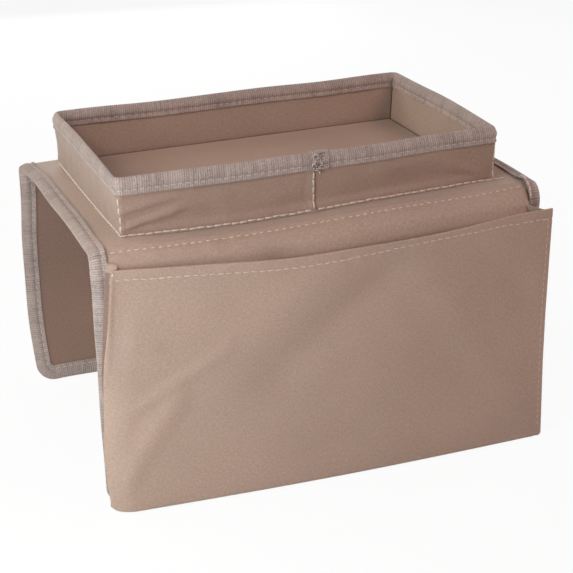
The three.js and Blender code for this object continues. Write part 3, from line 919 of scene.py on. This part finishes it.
def from_corner(u, name):
    """How far round the tray a place is from the middle of a corner, at most half the way round."""
    return np.mod(u - corner_at[name] + TRAY_ROUND / 2, TRAY_ROUND) - TRAY_ROUND / 2


def front_puckers(u, up):
    """Slanting folds that the foot seam pulls into the outer cloth next to the two front corners."""
    left, right = from_corner(u, "front_left"), -from_corner(u, "front_right")
    return np.maximum(creases(left, up, LEFT_PUCKERS) + creases(right, up, RIGHT_PUCKERS), -GAP)


def corner_seams(u, up):
    """A sharp upright ridge at each front corner, where the cloth is pinched, and a point at its foot."""
    total = 0.0
    for name in ("front_left", "front_right"):
        off = from_corner(u, name)
        total = total + 0.55 * ridge(off, 1.1) - 0.25 * ridge(np.abs(off) - 3.0, 1.2)
        total = total + 1.3 * ridge(off, 3.5) * ridge(up, 4.0)
    return total


FOOT_STITCH_UP = 1.5


def wall_puff(u, up):
    """Small shapes of the outer band: puckers, corner seams, tremble and a groove at the foot's row."""
    tremble = 0.25 * ripple(u, up, 24.0, 33) * ease(up / 6)
    foot = 0.25 * ridge(up, 0.8) - 0.35 * ridge(up - FOOT_STITCH_UP, 0.8) + 0.5 * ridge(up - 4.5, 2.2)
    return front_puckers(u, up) + corner_seams(u, up) + tremble + foot


BAND_TOP = TRAY_HEIGHT - TAPE_PROUD
LAP_LIFT = 0.9
CORNER_SHADE_WIDTH = 1.7
up = np.concatenate([np.linspace(BAND_TOP, 9.0, 34)[:-1], np.linspace(9.0, 0.3, 22)])[:, None]
round_open = round_steps(-7.0, TRAY_ROUND, 1.9)[None, :]
puff = wall_puff(round_open, up) + LAP_LIFT * ease((round_open - (TRAY_ROUND - 6.0)) / 3.0)
# The outer band's darker cloth is painted shade.
tray_outer = sheet(
    "tray_wall_outside",
    tray_point(round_open, up, -puff),
    tray_point(round_open, up, CLOTH - puff),
    round_open, -up, painted_shade_wall_cloth,
)
round_closed = round_steps(0.0, TRAY_ROUND, 2.0)[None, :]
inside_puff = 0.3 * ripple(round_closed, up, 40.0, 34) * ease(up / 6)
for name in corner_at:
    inside_puff = inside_puff + 1.2 * ridge(from_corner(round_closed, name), 1.3)
tray_inner = sheet(
    "tray_wall_inside",
    tray_point(round_closed, up, SANDWICH - inside_puff)[::-1],
    tray_point(round_closed, up, LINING_DEPTH - inside_puff)[::-1],
    round_closed, up[::-1], tray_cloth, closed=True,
)
floor_up = GAP + BOARD + GAP + CLOTH
# Painted shade: faces near each inner corner and below the floor's level take the darker lining cloth, for the
# shade in the corner crevices and in the gap round the floor.
corner_uv = np.empty(2 * len(tray_inner.data.loops))
tray_inner.data.uv_layers["cloth"].data.foreach_get("uv", corner_uv)
face_u, face_up = corner_uv.reshape(-1, 4, 2).mean(axis=1).T / MM
in_corner = np.any([np.abs(from_corner(face_u, name)) < CORNER_SHADE_WIDTH for name in corner_at], axis=0)
dark = in_corner | (face_up < floor_up)
tray_inner.data.materials.append(lining_cloth)
tray_inner.data.polygons.foreach_set("material_index", dark.astype(np.int32))
print(f"tray_wall_inside: {dark.sum()} of its faces are the lining's darker cloth")
for piece, node, slot in (
    (tray_outer, "tray_outer_cloth", "cover_cloth"),
    (tray_inner, "tray_inner_cloth", "lining_cloth"),
):
    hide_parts(node)
    flat = (TRAY_ROUND * MM, BAND_TOP * MM)
    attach(piece, "saddle")

wall_runs = {
    name: (tray_length[ARC_POINTS * number], tray_length[ARC_POINTS * number + 1])
    for number, name in enumerate(("right", "back", "left"), 1)
}
wall_runs["front"] = (tray_length[ARC_POINTS * len(CORNERS)] - TRAY_ROUND, tray_length[1])
for name, (u_from, u_to) in wall_runs.items():
    u = np.linspace(u_from + 0.5, u_to - 0.5, 70)[None, :]
    up = np.linspace(BAND_TOP - BOARD_INSET, GAP, 12)[:, None]
    outer, inner = (tray_point(u, up, depth) for depth in (BOARD_DEPTH, BOARD_DEPTH + BOARD))
    board = sheet(f"board_wall_{name}", outer, inner, u, up, fibre_board)
    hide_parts(f"tray_{name}_board")
    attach(board, "saddle")

# %% Floor of the tray
FLOOR_CREVICE = 1.1
FLOOR_DIP = 2.4
FLOOR_LONGER = 0.3
floor_half_x = TRAY_HALF_LENGTH - SANDWICH - FLOOR_CREVICE + FLOOR_LONGER
floor_half_y = TRAY_HALF_WIDTH - SANDWICH - FLOOR_CREVICE
x = -floor_half_x * np.cos(np.linspace(0, math.pi, 160))[None, :]
front_y = -floor_half_y - front_bow(x, floor_up)
y = floor_half_y + (front_y - floor_half_y) * (0.5 - 0.5 * np.cos(np.linspace(0, math.pi, 96)))[:, None]
to_edge = np.minimum(np.minimum(floor_half_x - np.abs(x), floor_half_y - y), y - front_y)
pillow = FLOOR_DIP * ease(to_edge / 1.8) + 0.35 * ripple(x, y, 90.0, 35) * ease(to_edge / 20.0)
floor_x = x + lean(x, y, floor_up / TRAY_HEIGHT)
floor_top = points_at(floor_x, y, HEIGHT + floor_up - FLOOR_DIP + pillow)
tray_floor = sheet("tray_floor", floor_top, floor_top - [0, 0, CLOTH], x, -y, floor_cloth)
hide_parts("tray_floor_cloth")
flat = (2 * floor_half_x * MM, 2 * floor_half_y * MM)
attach(tray_floor, "saddle")
shrink = 1 - BOARD_INSET / floor_half_x
board_top = points_at(x * shrink, y * shrink, HEIGHT + GAP + BOARD)
floor_board = sheet("board_floor", board_top, board_top - [0, 0, BOARD], x, -y, fibre_board)
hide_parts("tray_floor_board")
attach(floor_board, "saddle")

# %% [markdown]
# ## Rim tape
# The same tape is folded over the top of the wall and runs all the way round. Its last 13 mm lap over its
# start at the middle of the front. There the cut end stands a little proud and has begun to fray.

# %% Rim tape and its lapped end
fine_u = np.linspace(0, TRAY_ROUND, 3000)
rim_line = run_length(tray_point(fine_u, np.full_like(fine_u, TRAY_HEIGHT - 5.0), np.zeros_like(fine_u)))
along = np.linspace(0, rim_line[-1], 2 * int(rim_line[-1] * MM / RIB_PITCH) + 1)
rim_u = np.interp(along, rim_line, fine_u)
rim_tape = tape_piece(
    "rim_tape", along, lambda i, d: tray_point(rim_u[None, :], TRAY_HEIGHT - i, d), reverse=True, closed=True
)
print(f"the rim is {rim_line[-1]:.1f} mm round")
LAP_FROM, LAP_TO = -4.0 - SEAM_X, 9.0 - SEAM_X
lap_along = np.linspace(LAP_FROM, LAP_TO, 43)
fray = 0.5 * ripple(section_length[:, None] * 2.0, 0.0, 5.0, 36) * ease((lap_along - LAP_TO + 1.5) / 1.5)
bunch = 0.55 * ridge(lap_along - 8.0, 2.0) + 0.3 * ripple(lap_along, 0.0, 5.0, 37)
lap_piece = tape_piece(
    "rim_tape_end", lap_along,
    lambda i, d: tray_point(lap_along[None, :] + fray, TRAY_HEIGHT - i, d),
    extra=TAPE + 0.25 + bunch * 0.5, reverse=True,
)
for piece, node, length in (
    (rim_tape, "tray_rim_binding", rim_line[-1]),
    (lap_piece, "tray_rim_binding_end", LAP_TO - LAP_FROM),
):
    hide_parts(node)
    flat = (length * MM, section_length[-1] * MM)
    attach(piece, "saddle")

# %% [markdown]
# ## Pocket
# The pocket front is one cut of cloth. Its top edge is turned in and hemmed, its face falls to the floor, and
# at the foot it turns under and goes back to the seam at the panel. It stands off the panel more at its right
# end than at its left, and its mouth sags and bellies out in the middle. Each column of the grid is such a
# section, worked out for all columns at once. Its two upright edges aren't quite straight, so each is a short
# table of heights, with the place across at each of them.

# %% Outline of the pocket
POCKET_CLOTH = 0.9
HEM_WIDTH = 9.0
FOOT_TURN = 3.0
ON_TAPE = 2.6
LEFT_EDGE = np.array([
    [0.0, -161.8], [1.5, -162.8], [11.0, -163.8], [23.0, -164.6], [38.0, -165.1], [53.0, -164.9],
    [75.0, -163.6], [97.0, -162.2], [117.0, -160.6], [133.0, -159.1], [153.0, -157.0], [168.0, -155.2],
    [172.5, -154.2], [175.0, -152.0],
]).T
RIGHT_EDGE = np.array([
    [0.0, 153.6], [3.0, 155.6], [60.0, 155.6], [96.0, 156.4], [145.0, 158.4], [175.0, 159.8],
]).T


def pocket_outline(up, across):
    """x of a point at this height: the way from the left edge's table to the right edge's one."""
    left = np.interp(up, *LEFT_EDGE)
    return left + (np.interp(up, *RIGHT_EDGE) - left) * across


# %% Section of the pocket
HEM_BEHIND = 1.5
MOUTH_TURN = 0.45
TURN_BELOW = 0.9
TURN_BEHIND = 0.85
FACE_BEHIND = 0.4


def pocket_line(across):
    """Rows of (out, up, x) for each column: inside of the hem, over the mouth, down the face, under the foot.

    A straight run is corner + way * t, and a turn is middle + radius * (cos, sin). The two ways are the one
    that the face falls in and the one square to it, outwards.
    """
    belly = np.sin(math.pi * across)
    mouth = np.stack([
        7.0 + 14.0 * across + 10.0 * belly,
        HEIGHT - 9.5 - 4.0 * belly - 1.3 * ridge(across - 0.38, 0.12) + 1.8 * ridge(across - 0.90, 0.10),
    ])[:, None]
    foot_out = 14.0 + 14.0 * across + 4.0 * belly
    fall = np.stack([foot_out, np.full_like(across, FOOT_TURN)])[:, None] - mouth
    fall = fall / np.hypot(*fall)
    face = np.stack([-fall[1], fall[0]])
    t = np.linspace(HEM_WIDTH, 1.0, 7)[:, None]
    hem = mouth + fall * t - face * HEM_BEHIND
    turn = np.linspace(math.pi, 0, 7)[:, None]
    over = mouth + fall * TURN_BELOW - face * TURN_BEHIND
    over = over + face * (MOUTH_TURN * np.cos(turn)) - fall * (MOUTH_TURN * np.sin(turn))
    t = np.linspace(0.012, 0.985, 96)[:, None]
    face_foot = np.stack([foot_out - FOOT_TURN * (1 - face[0, 0]), FOOT_TURN * (1 + face[1, 0])])[:, None]
    down = mouth + (face_foot - mouth) * t - face * FACE_BEHIND
    turn = np.linspace(0.0, -math.pi / 2, 8)[:, None]
    foot_middle = np.stack([foot_out - FOOT_TURN, np.full_like(across, FOOT_TURN)])[:, None]
    foot = foot_middle + (FOOT_TURN - FACE_BEHIND) * np.stack([np.cos(turn), np.sin(turn)])
    t = np.linspace(0.1, 1.0, 8)[:, None]
    under = np.stack([(foot_out - FOOT_TURN) * (1 - t) + 1.6 * t, FACE_BEHIND + 0 * across * t])
    out, up = np.concatenate([hem, over, down, foot, under], axis=1)
    return out, up, pocket_outline(up, across)


def wrapped(out, up, x):
    """Below the middle, the left edge lies on the tape and the face rounds off to it as a quarter circle."""
    from_edge = np.clip((x - np.interp(up, *LEFT_EDGE)) / 15.0, 0.0, 1.0)
    rounded = np.sqrt(1.0 - (1.0 - from_edge) ** 2)
    wrap = ease((150.0 - up) / 75.0)
    return np.where(out > ON_TAPE, ON_TAPE + (out - ON_TAPE) * (1.0 - wrap * (1.0 - rounded)), out)


POCKET_CREASES = [
    ((-172, 2), (-106, 96), 9.0, 2.6),
    ((-158, 70), (-70, 119), 5.0, 1.3),
    ((-175, 129), (-120, 119), 5.0, 1.0),
    ((-112, 72), (28, 186), 22.0, 2.6),
    ((-70, 70), (64, 172), 15.0, -2.4),
    ((46, 164), (166, -10), 15.0, 1.8),
    ((86, 172), (166, 92), 13.0, -1.4),
]


def pocket_folds(x, up):
    """The pocket's soft creases, a broad swelling at the upper left and two ripples, in mm outwards."""
    return (
        creases(x, up, POCKET_CREASES)
        + 3.0 * ridge(x + 125.0, 40.0) * ridge(up - 120.0, 30.0)
        + 0.5 * ripple(x, up, 95.0, 41)
        + 0.22 * ripple(x, up, 32.0, 42)
    )


# %% Pocket sheet
MOUTH_ROW = 14
FACE_ROW = 60
MIDDLE_COLUMN = 120
STITCHED_BELOW = np.array([
    [-150, -44, 9, 45, 70, 102, 133, 150],
    [4.4, 5.1, 4.2, 2.6, 2.0, 2.8, 4.6, 5.0],
])
RIGHT_ROW_INSET = 2.6

pocket_across = np.concatenate([np.linspace(0, 0.07, 21)[:-1], np.linspace(0.07, 1, 190)])
pocket_out, pocket_up, pocket_x = pocket_line(pocket_across)
pocket_out = wrapped(pocket_out, pocket_up, pocket_x)
pocket_down = run_length(np.stack([pocket_out, pocket_up], axis=2)[:, MIDDLE_COLUMN])[:, None]
below_mouth = pocket_down - pocket_down[MOUTH_ROW]
from_left = pocket_x - np.interp(pocket_up, *LEFT_EDGE)
held = ease(pocket_up / 25.0) * ease((HEIGHT - 10.0 - pocket_up) / 30.0)
held = held * ease(pocket_across / 0.06) * ease((1 - pocket_across) / 0.06)
hem_width = np.interp(pocket_x, *STITCHED_BELOW)
hem_groove = -0.34 * ridge(below_mouth - hem_width, 0.9)
hem_groove = hem_groove + 0.18 * ripple(pocket_x, 0 * pocket_up, 9.0, 43) * ridge(below_mouth - 4.0, 4.0)
edge_welt = 0.8 * ridge(from_left - 1.1, 1.0) + 1.2 * ridge(from_left + 1.5, 6.5)
edge_welt = edge_welt * ease((pocket_up - 70.0) / 45.0) * ease((below_mouth - 1.0) / 5.0)
right_groove = -0.30 * ridge(pocket_x - np.interp(pocket_up, *RIGHT_EDGE) + RIGHT_ROW_INSET, 0.9)
face_rows = (np.arange(len(pocket_out)) >= MOUTH_ROW)[:, None]
pocket_lift = pocket_folds(pocket_x, pocket_up) * held + face_rows * (hem_groove + edge_welt + right_groove)
pocket_plain = np.stack([pocket_x, -(front["face"] + pocket_out), pocket_up], axis=-1)
pocket_middle = pocket_plain + grid_normals(pocket_plain) * pocket_lift[..., None]
pocket_normals = grid_normals(pocket_middle)


def pocket_skin(aside):
    """The surface that lies aside mm out from the middle of the pocket's cloth."""
    return pocket_middle + pocket_normals * aside


pocket_outer, pocket_inner = pocket_skin(POCKET_CLOTH / 2), pocket_skin(-POCKET_CLOTH / 2)
pocket = sheet("pocket_front", pocket_outer, pocket_inner, pocket_x, pocket_down, cover_cloth)
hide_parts("front_pocket")
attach(pocket, "front_panel")

# %% [markdown]
# ## Gussets
# A strip of cloth closes each end of the pocket. It is sewn to the panel beside the tape and to the edge of the
# pocket front, and it is creased once down its middle, so that the pocket can fold flat. The crease points
# inwards. At the left it is nearly shut, and below its top it takes the darker lining cloth as painted shade in
# the narrow valley; at the right it stands open.

# %% Gusset sheets
GUSSET_UNSHADED_TOP = 12.3


def gusset(name, hand, pleat, rise, peak, beside, drawn, under, cloth):
    """From the pocket's edge back to the panel: a straight run less pleat * (1 - |2t - 1|^1.5), inwards.

    The seam at the panel lies beside the pocket's edge, and never past the panel's own edge. Towards the mouth
    it is drawn in and stands on the rolled cover. The seam at the pocket lies under the pocket's edge. The
    crease's top stands up in a low peak. The top edge takes the cover's cloth and the rest takes the given
    cloth, which at the left is the darker lining as painted shade.
    """
    column = -1 if hand > 0 else 0
    rows = slice(MOUTH_ROW, -9)
    edge_out, edge_up, edge_x = (a[rows, column][:, None] for a in (pocket_out, pocket_up, pocket_x))
    t = np.linspace(0, 1, 26)[None, :]
    top = ease((edge_up - 135.0) / 40.0)
    seam_x = hand * np.minimum(np.abs(edge_x) + beside - drawn * top, HALF_LENGTH - 2.0)
    seam_out = TAPE_PROUD + 0.5 + 0.3 * drawn * top
    joined = int(np.argmin(np.abs(hand * (pocket_x[FACE_ROW, column] - pocket_x[FACE_ROW]) - under)))
    from_out = -pocket_middle[rows, joined, 1][:, None] - front["face"] - POCKET_CLOTH / 2
    from_out = np.maximum(from_out, 1.6)
    fold = pleat * (1 - np.abs(2 * t - 1) ** 1.5) * (0.8 + 0.2 * np.cos(edge_up / 40.0))
    fold = fold * (1 - 0.14 * peak * top)
    sheet_x = edge_x - hand * under + (seam_x - edge_x + hand * under) * t - hand * fold
    sheet_y = -(front["face"] + from_out + (seam_out - from_out) * t)
    sheet_z = edge_up + rise * t * top + peak * (1 - np.abs(2 * t - 1)) * top**8
    middle = points_at(sheet_x, sheet_y, sheet_z)
    half = np.array([hand * CLOTH / 2, 0.0, 0.0])
    outside, inside = middle + half, middle - half
    if hand < 0:
        outside, inside, t = outside[:, ::-1], inside[:, ::-1], t[:, ::-1]
    width = float(edge_out.mean())
    piece = sheet(name, outside, inside, t * width, -edge_up, cloth)
    # Painted shade: only the faces near the top take the cover's cloth; below them the left gusset keeps the
    # darker lining, for the shade in its shut pleat.
    above_painted_shade = np.array([face.center.z for face in piece.data.polygons]) > (HEIGHT - GUSSET_UNSHADED_TOP) * MM
    piece.data.materials.append(cover_cloth)
    piece.data.polygons.foreach_set("material_index", above_painted_shade.astype(np.int32))
    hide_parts(f"pocket_gusset_{'right' if hand > 0 else 'left'}")
    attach(piece, "front_panel")


# The left gusset's darker lining cloth is painted shade.
gusset(
    "gusset_left", -1, pleat=7.0, rise=5.5, peak=1.5, beside=1.0, drawn=0.0, under=2.4, cloth=lining_cloth
)
gusset(
    "gusset_right", 1, pleat=2.0, rise=3.0, peak=0.0, beside=-4.0, drawn=11.0, under=0.9, cloth=cover_cloth
)

# %% [markdown]
# ## Rows of stitches
# Each stitch is a short bead of thread that dives into the cloth at both ends. One bead is drawn once, as five
# rings of six points. Its points are then placed along a line for every stitch of a row at once, so that the
# beads bend with the edge that they follow. Round the tray's foot each stitch ends where the next one starts,
# in one needle hole, so the row is nearly unbroken. Real machine rows are a little uneven, so each stitch gets
# its own small error in length and place, from a seeded generator.

# %% Stitch builder
RING_AT = np.array([-0.5, -0.36, 0.0, 0.36, 0.5])
RING_SIZE = np.array([0.45, 0.95, 1.0, 0.95, 0.45])
RING_SINK = np.array([-0.75, -0.05, 0.22, -0.05, -0.75])
RING_TURN = np.linspace(0, 2 * math.pi, 7)[:-1]


def stitch_row(line, out, seed, pitch=5.0, length=3.6, thick=0.62, from_end=2.0):
    """Points of one row of stitches along a line with outward directions: (stitches, rings, sides, 3).

    A point is centre + radius * (aside * cos + outward * sin), and the centre sinks at the stitch's two ends.
    """
    random = np.random.default_rng(seed)
    run = run_length(line)

    def at_place(values):
        """Values of the line's points, read off between them at every ring's place."""
        return np.stack([np.interp(place, run, column) for column in values.T], axis=-1)

    count = max(1, int((run[-1] - 2 * from_end) / pitch))
    middle = from_end + (np.arange(count) + 0.5) * (run[-1] - 2 * from_end) / count
    middle = middle + random.normal(0, 0.15, count)
    long = length * (1 + random.normal(0, 0.06, count))
    skew = random.normal(0, 0.10, (count, 1)) + random.normal(0, 0.12, (count, 1)) * RING_AT * 2
    place = middle[:, None] + long[:, None] * RING_AT
    centre, normal = at_place(line), at_place(out)
    aside = np.cross(normal, at_place(np.gradient(line, run, axis=0)))
    aside /= np.linalg.norm(aside, axis=-1, keepdims=True)
    size = (thick / 2 * RING_SIZE)[None, :, None, None]
    spread = aside[:, :, None, :] * np.cos(RING_TURN)[:, None]
    spread = spread + 0.85 * normal[:, :, None, :] * np.sin(RING_TURN)[:, None]
    sink = (thick * (RING_SINK + 0.05))[None, :, None] * normal + skew[..., None] * aside
    return (centre + sink)[:, :, None, :] + size * spread


def thread_piece(name, rows, material=thread):
    """One mesh from rows of stitches."""
    points = np.concatenate(rows)
    count, rings, sides = points.shape[:3]
    index = np.arange(rings * sides).reshape(rings, sides)
    ring = np.concatenate([index, index[:, :1]], axis=1)
    walls = quads(ring[:-1, :-1], ring[:-1, 1:], ring[1:, 1:], ring[1:, :-1])
    caps = np.array([
        [index[0, 0], index[0, 3], index[0, 2], index[0, 1]],
        [index[0, 0], index[0, 5], index[0, 4], index[0, 3]],
        [index[-1, 0], index[-1, 1], index[-1, 2], index[-1, 3]],
        [index[-1, 0], index[-1, 3], index[-1, 4], index[-1, 5]],
    ])
    one = np.concatenate([walls, caps])
    faces = (np.arange(count)[:, None, None] * rings * sides + one).reshape(-1, 4)
    made = mesh_object(name, points.reshape(-1, 3), faces, np.zeros((faces.size, 2)), material)
    print(f"{name}: {count} stitches")
    return made


def sewn(place, seed, **size):
    """A row of stitches along place(0). Outwards is the way from there to place(1), a millimetre out."""
    away = place(1.0) - place(0.0)
    return stitch_row(place(0.0), away / np.linalg.norm(away, axis=1)[:, None], seed, **size)


# %% Stitches of the edge tapes and the fold
TAPE_STITCH = {"pitch": 5.2, "length": 4.4, "thick": 0.50}
LIP_INSET = 10.4

tape_faces = ((stitch_depth, -1), (SANDWICH - stitch_depth, 1))
for number, (name, side) in enumerate(sides.items()):
    path = edge_path(side, 1.0)[1]
    rows = [
        sewn(
            lambda far: near_edge(side, path, STITCH_INSET, depth + way * far),
            50 + 2 * number + face, **TAPE_STITCH,
        )
        for face, (depth, way) in enumerate(tape_faces)
    ]
    if side is front:
        bend = np.linspace(front["fold_start"] - 3.0, front["fold_start"] + 15.0, 30)
        path = np.stack([HALF_LENGTH + 0 * bend, bend, -1 + 0 * bend, 0 * bend], axis=1)
        rows.append(sewn(
            lambda far: near_edge(front, path, LIP_INSET, -TAPE_PROUD - 1.0 - far),
            55, pitch=4.4, length=4.2, thick=1.2, from_end=0.5,
        ))
    stitched = thread_piece(f"thread_edge_{name}", rows, tape_thread)
    blend_at_fold(stitched, side)

x = np.linspace(-HALF_LENGTH + 12, HALF_LENGTH - 12, 300)
v = np.full_like(x, fold_row)
row = sewn(
    lambda far: on_side(front, x, v, -far - sway(front, x, v) - cover_puff(front, x, v)),
    60, pitch=5.3, length=3.6, thick=0.85,
)
fold_stitches = thread_piece("thread_fold", [row])
blend_at_fold(fold_stitches, front)

# %% Stitches of the tray
CORNER_STITCH = {"pitch": 5.2, "length": 5.9, "from_end": 0.5}
u = round_steps(0.0, TRAY_ROUND, 0.7)
rows = [
    sewn(
        lambda far: tray_point(u, np.full_like(u, TRAY_HEIGHT - STITCH_INSET), depth + way * far),
        70 + face, from_end=9.0, **TAPE_STITCH,
    )
    for face, (depth, way) in enumerate(tape_faces)
]
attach(thread_piece("thread_rim", rows, tape_thread), "saddle")

rows = [sewn(
    lambda far: tray_point(u, np.full_like(u, FOOT_STITCH_UP), -far - wall_puff(u, FOOT_STITCH_UP)),
    72, pitch=5.9, length=6.8, thick=1.4,
)]
wall_up = np.linspace(27.8, 2.0, 30)
for seed, place_round, lapped, thick in (
    (73, -1.4, LAP_LIFT, 1.2),
    (74, corner_at["front_left"], 0.0, 1.2),
    (75, -0.7 + corner_at["front_right"], 0.0, 0.8),
):
    at = np.full_like(wall_up, place_round)
    rows.append(sewn(
        lambda far: tray_point(at, wall_up, -far - lapped - wall_puff(at, wall_up)),
        seed, thick=thick, **CORNER_STITCH,
    ))
corner = tray_point(np.array([corner_at["front_right"]]), np.array([1.3]), np.array([-1.5]))[0]
tail = corner + np.linspace(0, 1, 8)[:, None] * [8.0, -0.6, 0.0]
upwards = np.tile([0.0, 0.0, 1.0], (8, 1))
rows.append(stitch_row(tail, upwards, 76, pitch=3.9, length=3.7, thick=1.1, from_end=0.0))
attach(thread_piece("thread_tray", rows), "saddle")

FRAYED_LOOPS = 24
FRAYED_AT = LAP_TO - 8.7
random = np.random.default_rng(90)
loose, bars = [], []
for number in range(FRAYED_LOOPS):
    turn = np.linspace(0, random.uniform(1.2, 4.5), 14) + random.uniform(0, 2 * math.pi)
    size = random.uniform(0.8, 2.1)
    at = FRAYED_AT + random.normal(0, 2.6) + size * np.cos(turn)
    wall_up = TRAY_HEIGHT - 6.0 + random.normal(0, 3.0) + size * np.sin(turn)
    row = sewn(
        lambda far: tray_point(at, np.minimum(wall_up, TRAY_HEIGHT - 0.5), -far - TAPE_PROUD - 1.5),
        91 + number, pitch=1.6, length=1.9, thick=0.8, from_end=0.0,
    )
    (bars if number % 3 else loose).append(row)
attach(thread_piece("thread_lap_dark", bars, dark_thread), "saddle")
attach(thread_piece("thread_lap_light", loose, tape_thread), "saddle")

# %% Stitches of the pocket
def at_hem(grid):
    """Points of the hem's row of stitches: each column of the grid at its own distance below the mouth."""
    face_down = below_mouth[MOUTH_ROW:, 0]
    row = np.interp(hem_width[MOUTH_ROW], face_down, np.arange(len(face_down)) + MOUTH_ROW)
    low, share, column = row.astype(int), (row % 1)[:, None], np.arange(grid.shape[1])
    return grid[low, column] * (1 - share) + grid[low + 1, column] * share


right_column = int(np.argmin(np.abs(pocket_x[FACE_ROW] - pocket_x[FACE_ROW, -1] + RIGHT_ROW_INSET)))
beside = slice(MOUTH_ROW + 1, -17), right_column
knot = slice(MOUTH_ROW, MOUTH_ROW + 2), 1
hem_stitch = {"pitch": 5.5, "length": 4.6, "thick": 0.65, "from_end": 3.0}
rows = [
    stitch_row(at_hem(pocket_outer), at_hem(pocket_normals), 80, **hem_stitch),
    stitch_row(pocket_outer[beside], pocket_normals[beside], 81, pitch=4.6, thick=0.5),
    stitch_row(pocket_outer[knot], pocket_normals[knot], 82, pitch=3.0, length=2.8, thick=1.4, from_end=0.2),
]
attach(thread_piece("thread_pocket", rows), "front_panel")

# %% [markdown]
# ## Floor and light
# The floor is a plain pale plane. To the camera it is partly a plain white, so that it reads as the white of
# the photograph and still keeps a soft shadow. Three small lamps close by at the left make the pocket and the
# left tape bright, and their light falls off towards the right end as it does in the photograph. Larger lamps
# further off fill the front, the right and the back, and the world adds a little everywhere.

# %% Floor
floor_mesh = bpy.data.meshes.new("floor")
floor_mesh.from_pydata([(-9, -9, 0), (9, -9, 0), (9, 9, 0), (-9, 9, 0)], [], [(0, 1, 2, 3)])
floor = bpy.data.objects.new("floor", floor_mesh)
floor.location.z = min(0.0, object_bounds()[0].z) - 0.0002
bpy.context.scene.collection.objects.link(floor)
floor_nodes = Nodes("pale floor")
seen = floor_nodes.node("ShaderNodeLightPath", output="Is Camera Ray")
glow = floor_nodes.node("ShaderNodeEmission", {}, {"Color": (1, 1, 1, 1), "Strength": 1.0})
floor_finish = {"Base Color": (0.86, 0.86, 0.86, 1), "Roughness": 0.9, "Specular IOR Level": 0.1}
floor_nodes.fill(floor_nodes.shader, floor_finish)
shaded = Socket(floor_nodes, floor_nodes.shader.outputs[0])
whitened = floor_nodes.node("ShaderNodeMixShader", {}, {0: seen * 0.92, 1: shaded, 2: glow})
output = floor_nodes.tree.nodes["Material Output"]
floor_nodes.tree.links.new(whitened.output, output.inputs["Surface"])
floor_mesh.materials.append(floor_nodes.material)
print(f"the floor lies at {floor.location.z * 1000:.2f} mm")

# %% World and lamps
world = bpy.data.worlds.new("studio")
bpy.context.scene.world = world
world.use_nodes = True
tree = world.node_tree
background, plain = tree.nodes["Background"], tree.nodes.new("ShaderNodeBackground")
for made, colour, strength in ((background, (1.0, 0.94, 0.90, 1), 0.05), (plain, (1, 1, 1, 1), 1.0)):
    made.inputs["Color"].default_value = colour
    made.inputs["Strength"].default_value = strength
path_node, chooser = tree.nodes.new("ShaderNodeLightPath"), tree.nodes.new("ShaderNodeMixShader")
sources = (path_node.outputs["Is Camera Ray"], background.outputs[0], plain.outputs[0])
for socket, source in enumerate(sources):
    tree.links.new(source, chooser.inputs[socket])
tree.links.new(chooser.outputs[0], tree.nodes["World Output"].inputs["Surface"])


def soft_lamp(name, place, aim, size, power, colour):
    """A square area lamp at a place in metres, turned to face a point."""
    lamp = bpy.data.objects.new(name, bpy.data.lights.new(name, "AREA"))
    lamp.data.size = size
    lamp.data.energy = power
    lamp.data.color = colour
    bpy.context.scene.collection.objects.link(lamp)
    back_axis = np.subtract(place, aim) / np.linalg.norm(np.subtract(place, aim))
    side_axis = np.cross([0, 0, 1], back_axis)
    side_axis /= np.linalg.norm(side_axis)
    turned = np.eye(4)
    turned[:3, 0], turned[:3, 1], turned[:3, 2] = side_axis, np.cross(back_axis, side_axis), back_axis
    turned[:3, 3] = place
    lamp.matrix_world = Matrix(turned.tolist())


AIM = (0.0, 0.0, 0.1)
LAMPS = [
    ("low left", (-0.42, -0.42, 0.22), AIM, 0.25, 1.40, (0.84, 0.97, 1.0)),
    ("high left", (-0.55, -0.40, 0.75), AIM, 0.3, 2.35, (0.83, 0.95, 1.0)),
    ("left side", (-0.70, 0.0, 0.60), AIM, 0.3, 2.10, (1.0, 0.86, 0.70)),
    ("front right", (0.70, -0.80, 1.10), AIM, 0.6, 5.3, (1.0, 0.64, 0.51)),
    ("right side", (0.95, -0.30, 1.30), AIM, 0.6, 2.9, (0.75, 0.88, 1.0)),
    ("back left", (-0.80, 0.70, 0.90), AIM, 0.6, 4.0, (0.97, 1.0, 0.95)),
    ("back", (0.20, 1.30, 0.45), (0.0, 0.1, 0.1), 0.8, 6.5, (1, 1, 1)),
    ("far right", (1.30, 0.25, 0.45), (0.1, 0.0, 0.1), 0.7, 5.0, (1, 1, 1)),
]
for lamp_row in LAMPS:
    soft_lamp(*lamp_row)
print(len(LAMPS), "lamps, in all watts:", round(sum(lamp_row[4] for lamp_row in LAMPS), 2))
bpy.context.scene.view_settings.view_transform = "Standard"
